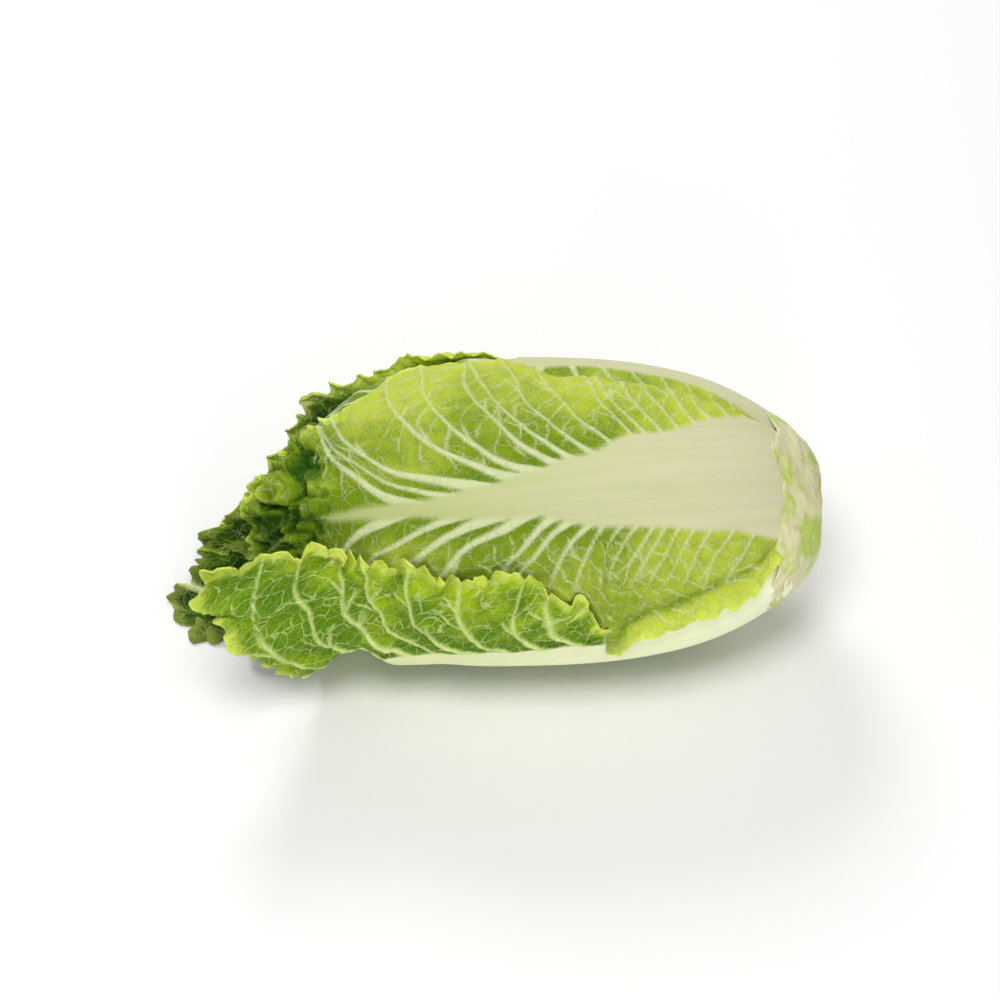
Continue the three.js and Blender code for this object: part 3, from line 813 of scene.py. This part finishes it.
def grow_leaf(name, leaf):
    """The finished mesh of a leaf, with the attributes that its material reads."""
    piece, sorting, across_grid, up_grid = flat_grid(name, leaf)
    s, angle = leaf_places(leaf, across_grid, up_grid)
    at = on_leaf(leaf, s, angle)
    free = free_height(leaf, s, at) - 0.6 * waves(leaf, s, at, np.maximum(0, -outside(leaf, s, at)))
    height, headroom = pressed(s, angle, free, leaf)
    height = soften(height, 2)
    sheet = measure(place(s, angle, height))
    x, y = foot_station(leaf, at["side"]) + sheet["from_foot"], sheet["across"]
    side_vein, rung, rib = veins(leaf, x, y)
    frill, lean, sway, nibble = ruffles(leaf, sheet)
    ragged = leaf["ragged"](s, at["side"])
    room = smooth(0.5, 5, headroom)
    strength = leaf["frill"] * ragged * room
    lift = blade_relief(leaf, x, y, side_vein, rung, rib) + strength * frill + leaf["dent"](s, at, sheet)
    points = place(s, angle, height - BLADE_THICKNESS / 2) + sheet["out"] * lift[..., None]
    points = points + sheet["along_rim"] * (strength * sway)[..., None]
    inwards = (0.2 + 0.8 * ragged) * nibble - leaf["frill"] * ragged * lean
    points = points - sheet["over_rim"] * inwards[..., None]
    points[..., 2] = np.maximum(points[..., 2], FLOOR_CLEARANCE)
    piece.data.vertices.foreach_set("co", in_mesh_order(points * MM, sorting).ravel())
    side_vein, edge = leaf["margin"](s, at, side_vein, sheet["edge"])
    depth = leaf["deep"](s, at, sheet) + 0.12 * wobble(x, y, 40, 90 + leaf["order"])
    # painted shade: from station 90 on, the blade is made a deeper green next to the midrib, for the shade
    # beside the raised rib and veins
    depth = depth + (0.55 * smooth(16, 1, rib) - 0.08) * smooth(90, 130, s)
    painted = dict(side_vein=side_vein, rung=rung, rib=rib, edge=edge, depth=depth)
    for key, values in painted.items():
        keep(piece.data, key, in_mesh_order(values, sorting))
    lay_flat(piece.data, in_mesh_order(np.stack([x, y], axis=-1) / 100, sorting))
    give_thickness(piece, in_mesh_order(thickness(s, at), sorting))
    print(name, len(piece.data.polygons), "faces")
    return piece


print("no leaf comes nearer to the floor than", FLOOR_CLEARANCE, "mm")

# %% [markdown]
# ## Finishes
# All leaves share one build-up of colour: green blade, net of small veins, rungs, side veins, and the pale
# midrib on top. Every leaf could have a tree of its own, but a node group with the colours as inputs needs
# to be built only once, and the outside of a blade, its darker inside and the yellow inner leaves then
# differ only in values. First come helpers that keep the building short.

# %% Node helpers
def linear(red, green, blue):
    """An sRGB colour from 0 to 255 as the linear colour that a socket takes."""
    share = [c / 255 for c in (red, green, blue)]
    return (*[c / 12.92 if c <= 0.04045 else ((c + 0.055) / 1.055) ** 2.4 for c in share], 1)


class Tree:
    """Adds nodes to a tree by name and joins them as they are added."""

    def __init__(self, tree):
        self.tree = tree

    def add(self, kind, inputs=(), output=0, **settings):
        node = self.tree.nodes.new("ShaderNode" + kind)
        for key, value in settings.items():
            setattr(node, key, value)
        for key, value in dict(inputs).items():
            socket = node.inputs[key]
            if isinstance(value, bpy.types.NodeSocket):
                self.tree.links.new(value, socket)
            else:
                socket.default_value = value
        return node.outputs[output]

    def mix(self, factor, first, second):
        return self.add("Mix", {0: factor, 6: first, 7: second}, 2, data_type="RGBA")

    def maths(self, operation, first, second=0.0):
        return self.add("Math", {0: first, 1: second}, operation=operation)

    def ramp(self, value, low, high, to_low=0.0, to_high=1.0):
        inputs = {"Value": value, "From Min": low, "From Max": high, "To Min": to_low, "To Max": to_high}
        return self.add("MapRange", inputs, interpolation_type="SMOOTHSTEP")

    def noise(self, vector, scale, detail=3.0, rough=0.55):
        return self.add("TexNoise", {"Vector": vector, "Scale": scale, "Detail": detail, "Roughness": rough})

    def attribute(self, name):
        return self.add("Attribute", output=2, attribute_name=name)


def new_group(name, inputs, outputs):
    group = bpy.data.node_groups.new(name, "ShaderNodeTree")
    for label, kind, value in inputs:
        socket = group.interface.new_socket(label, in_out="INPUT", socket_type="NodeSocket" + kind)
        if value is not None:
            socket.default_value = value
    for label, kind in outputs:
        group.interface.new_socket(label, in_out="OUTPUT", socket_type="NodeSocket" + kind)
    return group, group.nodes.new("NodeGroupInput"), group.nodes.new("NodeGroupOutput")


print("middle grey as a socket takes it:", round(linear(128, 128, 128)[0], 3))

# %% [markdown]
# ## The net of small veins
# Between the rungs a fine net of veins covers the blade, too fine to be modelled. Voronoi cells drawn by
# the distance to their edge look like it, once noise has shaken the place that they are read at. Two sizes
# are used, the wide meshes with the small ones inside. The flat place on the leaf comes in as an input, so
# the net follows the blade round every bend.

# %% The leaf surface group
leaf_group, given, result = new_group(
    "leaf_surface",
    [("Pale", "Color", None), ("Deep", "Color", None), ("Dark", "Color", None), ("Vein", "Color", None),
     ("Rib", "Color", None), ("Rib Tip", "Color", None), ("Rim", "Color", None), ("Net", "Float", 0.5),
     ("Vein Strength", "Float", 1.0), ("Rim Width", "Float", 4.0), ("Flat", "Vector", None),
     ("Side Vein", "Float", 50.0), ("Rung", "Float", 50.0), ("Midrib", "Float", 50.0),
     ("Edge", "Float", 50.0), ("Depth", "Float", 0.5)],
    [("Color", "Color"), ("Roughness", "Float"), ("Height", "Float")],
)
g = Tree(leaf_group)
take = given.outputs
uneven = g.noise(take["Flat"], 13.0, 4)
fine = g.noise(take["Flat"], 90.0, 3)
drift_by = g.add("TexNoise", {"Vector": take["Flat"], "Scale": 30.0, "Detail": 2.0}, 1)
drift_by = g.add("VectorMath", {0: drift_by, 3: 0.016}, operation="SCALE")
shaken = g.add("VectorMath", {0: take["Flat"], 1: drift_by}, operation="ADD")
wide_cells = g.add("TexVoronoi", {"Vector": shaken, "Scale": 15.0, "Randomness": 0.85},
                   feature="DISTANCE_TO_EDGE")
small_cells = g.add("TexVoronoi", {"Vector": shaken, "Scale": 42.0, "Randomness": 0.9},
                    feature="DISTANCE_TO_EDGE")
wide_net = g.ramp(wide_cells, 0.055, 0.01)
small_net = g.ramp(small_cells, 0.1, 0.01)
shift = g.ramp(fine, 0.3, 0.7, -0.18, 0.18)
print("inputs of the leaf surface:", len(take) - 1)

# %% [markdown]
# ## The colours of the blade
# The depth that was kept on the mesh takes the green from pale over deep to dark, with patches of noise in
# it. The net, the rungs and the side veins are laid over it in this order, each through a soft mask, and
# last the pale rim. In the darkest parts net and rim fade, as they do on a leaf.

# %% Blade colours
depth = g.maths("ADD", take["Depth"], g.ramp(uneven, 0.3, 0.7, -0.13, 0.13))
depth = g.maths("ADD", depth, g.ramp(fine, 0.3, 0.7, -0.07, 0.07))
blade = g.mix(g.ramp(depth, 0, 1), take["Pale"], take["Deep"])
blade = g.mix(g.ramp(depth, 1, 2), blade, take["Dark"])
patchy = g.maths("MULTIPLY", take["Net"], g.ramp(uneven, 0.35, 0.6, 0.5, 1.0))
patchy = g.maths("MULTIPLY", patchy, g.ramp(depth, 0.9, 1.7, 1.0, 0.3))
netted = g.mix(g.maths("MULTIPLY", small_net, g.maths("MULTIPLY", patchy, 0.4)), blade, take["Vein"])
netted = g.mix(g.maths("MULTIPLY", wide_net, patchy), netted, take["Vein"])
rung_mask = g.ramp(g.maths("ADD", take["Rung"], shift), 0.5, -0.35)
rung_mask = g.maths("MULTIPLY", rung_mask, g.ramp(take["Net"], 0, 1, 0.5, 0.9))
runged = g.mix(g.maths("MULTIPLY", rung_mask, take["Vein Strength"]), netted, take["Vein"])
vein_mask = g.ramp(g.maths("ADD", take["Side Vein"], shift), 0.9, -0.9)
veined = g.mix(g.maths("MULTIPLY", vein_mask, take["Vein Strength"]), runged, take["Vein"])
rim_mask = g.ramp(g.maths("DIVIDE", g.maths("ADD", take["Edge"], g.maths("MULTIPLY", shift, 6.0)),
                          take["Rim Width"]), 1.0, 0.0, 0.0, 1.0)
rim_mask = g.maths("MULTIPLY", rim_mask, g.ramp(uneven, 0.35, 0.62, 0.45, 0.95))
rim_mask = g.maths("MULTIPLY", rim_mask, g.ramp(depth, 0.9, 1.7, 1.0, 0.35))
rimmed = g.mix(rim_mask, veined, take["Rim"])
print("nodes so far:", len(leaf_group.nodes))

# %% [markdown]
# ## The colours of the midrib
# A midrib is whitest at its foot and turns greener towards the tip. It is streaked by strands that run along
# it and has a few fine brown scratches. Noise drawn out along the leaf gives both. The height for the bump
# is gathered here too, from the net and the strands.

# %% Rib colours
SCRATCH = linear(150, 128, 84)
parts = g.tree.nodes.new("ShaderNodeSeparateXYZ")
g.tree.links.new(take["Flat"], parts.inputs[0])
stretched = g.add("Mapping", {"Vector": take["Flat"], "Scale": (0.3, 4, 1)})
strands = g.noise(stretched, 5.0, 2)
scratched = g.add("Mapping", {"Vector": take["Flat"], "Scale": (1.5, 9, 1)})
scratches = g.noise(scratched, 7.0, 2)
rib_colour = g.mix(g.ramp(parts.outputs[0], 0.4, 2.7), take["Rib"], take["Rib Tip"])
rib_colour = g.mix(g.ramp(strands, 0.35, 0.75, 0, 0.26), rib_colour, take["Rib Tip"])
rib_colour = g.mix(g.ramp(scratches, 0.72, 0.8, 0, 0.4), rib_colour, SCRATCH)
rib_mask = g.ramp(g.maths("ADD", take["Midrib"], g.maths("MULTIPLY", shift, 3.0)), 2.4, -1.6)
finished = g.mix(rib_mask, rimmed, rib_colour)
g.tree.links.new(finished, result.inputs["Color"])
g.tree.links.new(g.ramp(strands, 0.2, 0.8, 0.4, 0.56), result.inputs["Roughness"])
bumps = g.maths("ADD", g.maths("MULTIPLY", wide_net, 0.3), g.maths("MULTIPLY", small_net, 0.12))
bumps = g.maths("MULTIPLY", bumps, g.ramp(take["Midrib"], 0, 4))
bumps = g.maths("ADD", bumps, g.maths("MULTIPLY", g.maths("MULTIPLY", strands, rib_mask), 0.5))
g.tree.links.new(bumps, result.inputs["Height"])
print("nodes in the leaf surface:", len(leaf_group.nodes))

# %% [markdown]
# ## The leaf materials
# A leaf is thin and wet inside, so some light goes in and comes out again next to where it entered. The
# Principled shader's subsurface gives that. The sides that face inwards are seen with light coming through
# them, so they get more of it and glow a little. A leaf has hardly any gloss, only a dull sheen.

# %% Leaf materials
INPUT_ATTRIBUTES = {
    "Side Vein": "side_vein", "Rung": "rung", "Midrib": "rib", "Edge": "edge", "Depth": "depth",
}
GLOW_OUTSIDE, GLOW_INSIDE = 0.25, 0.9
LIGHT_REACH_OUTSIDE, LIGHT_REACH_INSIDE = 2.0 * MM, 5.0 * MM
LIGHT_COLOURS = (0.8, 1.0, 0.15)
LEAF_GLOSS = 0.06
TENTHS_OF_A_METRE = 10  # the flat map of a leaf is in tenths of a metre, and the heart's net matches it


def leaf_material(name, on_blade=True, glow=GLOW_OUTSIDE, reach=LIGHT_REACH_OUTSIDE, **values):
    """Places the leaf surface group in a material of its own, with that material's colours and strengths."""
    material = bpy.data.materials.new(name)
    material.use_nodes = True
    t = Tree(material.node_tree)
    shader = material.node_tree.nodes["Principled BSDF"]
    surface = t.tree.nodes.new("ShaderNodeGroup")
    surface.node_tree = leaf_group
    for key, value in values.items():
        surface.inputs[key.replace("_", " ").title()].default_value = value
    if on_blade:
        t.tree.links.new(t.add("UVMap", uv_map="UVMap"), surface.inputs["Flat"])
        for label, key in INPUT_ATTRIBUTES.items():
            t.tree.links.new(t.attribute(key), surface.inputs[label])
    else:
        turned = t.add("Mapping", {"Vector": t.add("TexCoord", output=3), "Scale": [TENTHS_OF_A_METRE] * 3})
        t.tree.links.new(turned, surface.inputs["Flat"])
    t.tree.links.new(surface.outputs["Color"], shader.inputs["Base Color"])
    t.tree.links.new(surface.outputs["Roughness"], shader.inputs["Roughness"])
    bump = t.add("Bump", {"Height": surface.outputs["Height"], "Distance": MM, "Strength": 0.8})
    t.tree.links.new(bump, shader.inputs["Normal"])
    shader.inputs["Subsurface Weight"].default_value = glow
    shader.inputs["Subsurface Radius"].default_value = LIGHT_COLOURS
    shader.inputs["Subsurface Scale"].default_value = reach
    shader.inputs["Specular IOR Level"].default_value = LEAF_GLOSS
    return material


print("attributes that a leaf material reads:", ", ".join(INPUT_ATTRIBUTES.values()))

# %% [markdown]
# ## The finishes of this head
# The outermost leaves have seen the most light and are the deepest green, with the clearest net. The leaves
# that wrap the head are paler and yellower, the young inner ones paler still. The heart has no veins of its
# own, only the net. Its pattern reads the place on the piece, because it has no flat leaf to read.

# %% Leaf finishes
RIB = linear(199, 196, 161)
wrapper_finish = leaf_material(
    "wrapper_leaf", pale=linear(176, 190, 58), deep=linear(106, 134, 0), dark=linear(34, 76, 0),
    vein=linear(194, 201, 154), rib=RIB, rib_tip=linear(168, 178, 112), rim=linear(208, 226, 90),
    net=0.32, rim_width=5.0)
outer_finish = leaf_material(
    "outer_leaf", pale=linear(156, 182, 6), deep=linear(80, 120, 0), dark=linear(16, 54, 0),
    vein=linear(200, 214, 134), rib=linear(232, 236, 200), rib_tip=linear(218, 226, 168),
    rim=linear(206, 219, 92), net=0.55, rim_width=7.0)
inside_finish = leaf_material(
    "leaf_inside", glow=GLOW_INSIDE, reach=LIGHT_REACH_INSIDE,
    pale=linear(186, 206, 48), deep=linear(90, 130, 0), dark=linear(24, 62, 0),
    vein=linear(128, 160, 26), rib=linear(196, 202, 140), rib_tip=linear(148, 172, 66),
    rim=linear(206, 222, 72), net=0.12, vein_strength=0.45, rim_width=12.0)
young_finish = leaf_material(
    "young_leaf", pale=linear(208, 216, 120), deep=linear(160, 186, 60), dark=linear(120, 150, 30),
    vein=linear(214, 220, 170), rib=RIB, rib_tip=linear(206, 214, 150), rim=linear(196, 212, 96), net=0.4)
heart_finish = leaf_material(
    "heart", on_blade=False, pale=linear(208, 216, 120), deep=linear(160, 186, 60),
    vein=linear(214, 220, 170), rib=RIB, rib_tip=RIB, rim=RIB, net=0.5)
made = (wrapper_finish, outer_finish, inside_finish, young_finish, heart_finish)
print("finishes:", ", ".join(finish.name for finish in made))

# %% [markdown]
# ## The leaves, grown
# Each leaf replaces its solid and takes the finishes of its slot, one for the outer face and one for the
# inner face, which Solidify has put in the second material.

# %% Grow the leaves
SLOTS = {
    "leaf_1_outermost": "outer_leaf", "leaf_2": "outer_leaf", "leaf_3": "wrapper_leaf",
    "leaf_4": "outer_leaf", "leaf_5": "wrapper_leaf", "leaf_6": "inner_leaf", "leaf_7": "inner_leaf",
    "leaf_8": "inner_leaf",
}
FINISHES = {
    "outer_leaf": (outer_finish, inside_finish), "wrapper_leaf": (wrapper_finish, inside_finish),
    "inner_leaf": (young_finish, young_finish),
}
for name, leaf in LEAVES.items():
    piece = grow_leaf(name, leaf)
    for finish in FINISHES[SLOTS[name]]:
        piece.data.materials.append(finish)
    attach(piece, "root")
    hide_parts(name)

# %% [markdown]
# ## The heart and the stem
# All leaves stand on one short stem, cut flat, with the stubs of the leaves that were trimmed off round it.
# The stem could be turned, or built from separate stubs, but it has to grow into the heart without a seam.
# So one sphere, with its poles at the cut and at the crown, makes both. Its first third follows a table of
# rings, from the middle of the cut face out to its rim, along the stubs to their lip and back under it. The
# rest is drawn out along the head and pressed under the leaves, so that no gap shows between their feet.

# %% Stem rings
HEART_FOOT = 26.0
HEART_DEPTH = -9.0
LIP = 32.0  # station that the trimmed leaf bases reach over the feet of the leaves
# Rings of the stem: share of the way to the lip, and height over the outline.
STEM_RINGS = [[0, -30], [0, -1.7], [0.04, 0.2], [0.2, 0.3], [0.4, 0.3], [0.6, 0.4], [0.8, 0.4], [0.94, 0.5],
              [1.0, -0.2], [0.98, -1.5], [0.9, -5]]
STEM_SHARE = 0.34


def crown_folds(s, angle):
    """Folds of the innermost leaves, which curl over the crown."""
    curl = np.sin((3 * angle + 2.2 * s) * RADIANS) * 0.5 + 0.5
    return 5 * curl**2 * smooth(230, 255, s) * smooth(CROWN_STATION, CROWN_STATION - 14, s)


def stem_places(t, angle):
    """The cut stem with the stubs of trimmed leaves: t counts the rings of the table."""
    whole = np.arange(len(STEM_RINGS))
    share, height = (np.interp(t, whole, np.array(STEM_RINGS)[:, k]) for k in (0, 1))
    turn = angle * RADIANS
    round_x, round_y = 30 * np.cos(turn), 30 * np.sin(turn)
    reach = LIP + 2.5 * wobble(round_x, round_y, 30, 5) + 1.2 * wobble(round_x, round_y, 9, 6)
    s = share * reach
    step = (s + 2.5 * wobble(round_x, round_y, 34, 12)) / 8.5 % 1
    stubs = smooth(0, 0.12, step) * (1 - 0.75 * step) * smooth(0.05, 0.25, share) * smooth(1.05, 0.9, share)
    stubs = stubs * (0.75 + 0.5 * wobble(round_x + 9 * t, round_y, 22, 8)) * smooth(0.98, 0.7, share)
    lumps = 0.35 * wobble(round_x + 7 * t, round_y + 5 * t, 9, 9) * smooth(0.02, 0.2, share)
    radius = outline_radius(s) + height + 1.1 * stubs + lumps
    uneven = (0.02 * np.sin(3 * turn) + 0.012 * np.sin(7 * turn)) * smooth(1, 0.5, share)
    radius = radius * (1 + uneven)
    dish = 0.8 * smooth(1, 0, t) + 0.25 * wobble(radius * np.cos(turn), radius * np.sin(turn), 9, 14)
    distance = np.interp(s, stations, distances) + dish * smooth(1.6, 1.0, t)
    return point_at(distance, angle, np.maximum(radius, 0) * smooth(0, 0.02, t))


rim_point = stem_places(np.array([1.0]), np.array([90.0]))[0]
print("radius of the cut face:", round(float(rim_point[2]) - AXIS_HEIGHT, 1), "mm")


# %% Heart mesh
HEART_SEGMENTS, HEART_RINGS = 220, 190


def grow_heart():
    """The heart with its stem, and for each vertex its share of the way from the cut to the crown."""
    bpy.ops.object.select_all(action="DESELECT")
    bpy.ops.mesh.primitive_uv_sphere_add(segments=HEART_SEGMENTS, ring_count=HEART_RINGS, radius=1)
    piece = bpy.context.object
    piece.name = piece.data.name = "heart"
    corners = np.zeros(len(piece.data.vertices) * 3)
    piece.data.vertices.foreach_get("co", corners)
    corners = corners.reshape(-1, 3)
    share = 1 - np.arccos(np.clip(corners[:, 2], -1, 1)) / math.pi
    angle = np.degrees(np.arctan2(corners[:, 1], corners[:, 0]))
    t = np.clip(share / STEM_SHARE, 0, 1) * (len(STEM_RINGS) - 1)
    stem_points = stem_places(t, angle)
    q = np.clip((share - STEM_SHARE) / (1 - STEM_SHARE), 0, 1)
    s = HEART_FOOT + q * (CROWN_STATION - HEART_FOOT - 0.5)
    free = HEART_DEPTH + crown_folds(s, angle)
    height = pressed(s, angle, free, None, 4)[0] + 1.0
    crinkles = smooth(60, 120, s) * smooth(CROWN_STATION, CROWN_STATION - 10, s)
    height = height + 0.7 * crinkles * wobble(s, angle / 2, 12, 3)
    head_points = place(s, angle, height)
    points = np.where((share < STEM_SHARE)[:, None], stem_points, head_points)
    crown = point_at(np.array(STEM_TO_WIDEST + CROWN_REACH + HEART_DEPTH), np.array(0.0), np.array(0.0))
    points[share > 0.9999] = crown
    points[:, 2] = np.maximum(points[:, 2], 0)
    piece.data.vertices.foreach_set("co", (points * MM).ravel())
    keep(piece.data, "from_cut", np.where(share < STEM_SHARE, t, len(STEM_RINGS) + s - HEART_FOOT))
    bpy.ops.object.shade_smooth()
    print("heart", len(piece.data.polygons), "faces")
    return piece, share


heart, heart_share = grow_heart()

# %% [markdown]
# ## The finish of the stem
# A cut stem dries to a dull buff, and the stubs round it are pale with green patches and brown specks. The
# cut face could be painted by its direction, but the lip faces the same way in places. The ring number kept
# on the mesh tells the two apart surely. The noise reads object coordinates, so it stays on the piece.

# %% Stem finish
CUT_FACE = linear(190, 170, 128)
STUB = linear(172, 190, 88)
STUB_PALE = linear(206, 202, 158)
BRUISE = linear(158, 126, 78)

stem_finish = bpy.data.materials.new("stem")
stem_finish.use_nodes = True
h = Tree(stem_finish.node_tree)
stem_shader = stem_finish.node_tree.nodes["Principled BSDF"]
body = h.add("TexCoord", output=3)
blotches = h.noise(body, 60.0, 3)
specks = h.noise(body, 260.0, 4)
skin = h.mix(h.ramp(blotches, 0.46, 0.62), STUB_PALE, STUB)
cut = h.ramp(h.attribute("from_cut"), 2.2, 1.2)
skin = h.mix(cut, skin, CUT_FACE)
skin = h.mix(h.ramp(specks, 0.6, 0.74, 0, 0.45), skin, BRUISE)
h.tree.links.new(skin, stem_shader.inputs["Base Color"])
h.tree.links.new(h.ramp(blotches, 0.3, 0.7, 0.5, 0.7), stem_shader.inputs["Roughness"])
stem_bump = h.add("Bump", {"Height": specks, "Distance": MM, "Strength": 0.4})
h.tree.links.new(stem_bump, stem_shader.inputs["Normal"])
stem_shader.inputs["Subsurface Weight"].default_value = 0.15
stem_shader.inputs["Subsurface Radius"].default_value = (1.0, 0.9, 0.5)
stem_shader.inputs["Subsurface Scale"].default_value = 1.5 * MM
heart.data.materials.append(stem_finish)
heart.data.materials.append(heart_finish)
for face in heart.data.polygons:
    middle = sum(heart_share[v] for v in face.vertices) / len(face.vertices)
    face.material_index = 1 if middle > STEM_SHARE + 0.03 else 0
print("stem faces:", sum(face.material_index == 0 for face in heart.data.polygons))
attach(heart, "root")
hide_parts("heart_and_stem")

# %% [markdown]
# ## Floor and light
# A plain pale floor lets the greens speak. Sunlight would draw hard shadows under every ruffle, so a pale
# light comes from everywhere and three large round lamps add soft shadows: one from above the front, a low
# one that brightens the near side, and one from behind for the far rims.

# %% Floor and lights
FLOOR_SIZE = 8
FLOOR_COLOUR = (0.8, 0.8, 0.79, 1)
SKY_STRENGTH = 0.45
# Place in metres, diameter and power of each lamp.
LAMPS = {
    "key": ((-0.1, -0.5, 1.5), 0.6, 13),
    "front": ((0.2, -1.6, 0.4), 0.9, 9),
    "back": ((-0.3, 1.1, 1.1), 0.6, 11),
}
bpy.ops.object.select_all(action="DESELECT")
bpy.ops.mesh.primitive_plane_add(size=FLOOR_SIZE, location=(0, 0, 0))
floor = bpy.context.object
floor.name = "floor"
floor_finish = bpy.data.materials.new("floor")
floor_finish.use_nodes = True
floor_shader = floor_finish.node_tree.nodes["Principled BSDF"]
floor_shader.inputs["Base Color"].default_value = FLOOR_COLOUR
floor_shader.inputs["Roughness"].default_value = 0.9
floor.data.materials.append(floor_finish)
floor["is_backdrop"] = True

world = bpy.data.worlds.new("studio")
bpy.context.scene.world = world
world.use_nodes = True
world.node_tree.nodes["Background"].inputs["Color"].default_value = (1, 1, 1, 1)
world.node_tree.nodes["Background"].inputs["Strength"].default_value = SKY_STRENGTH


def lamp(name, place_at, size, power):
    """A round soft lamp that looks at the middle of the head."""
    data = bpy.data.lights.new(name, "AREA")
    data.shape, data.size, data.energy = "DISK", size, power
    made = bpy.data.objects.new(name, data)
    made.location = place_at
    made.rotation_euler = (HEAD_MIDDLE - Vector(place_at)).to_track_quat("-Z", "Y").to_euler()
    bpy.context.scene.collection.objects.link(made)


for lamp_name, values in LAMPS.items():
    lamp(lamp_name, *values)
print("lamps:", ", ".join(LAMPS))
bpy.context.scene.view_settings.view_transform = "Standard"

# %% [markdown]
# ## Size
# The dressed head is meant to keep the size of the solids, apart from thin ruffles at the rims. A look at the
# render can't tell, so both boxes are measured and how far the dressed head reaches past the solids is
# printed.

# %% Sizes
dressed_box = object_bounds()
for corner, sign in ((0, -1), (1, 1)):
    past = [sign * (d - c) / MM for c, d in zip(cad_box[corner], dressed_box[corner])]
    print("past the solids at the", ("low", "high")[corner], "corner, mm:", [round(p, 1) for p in past])
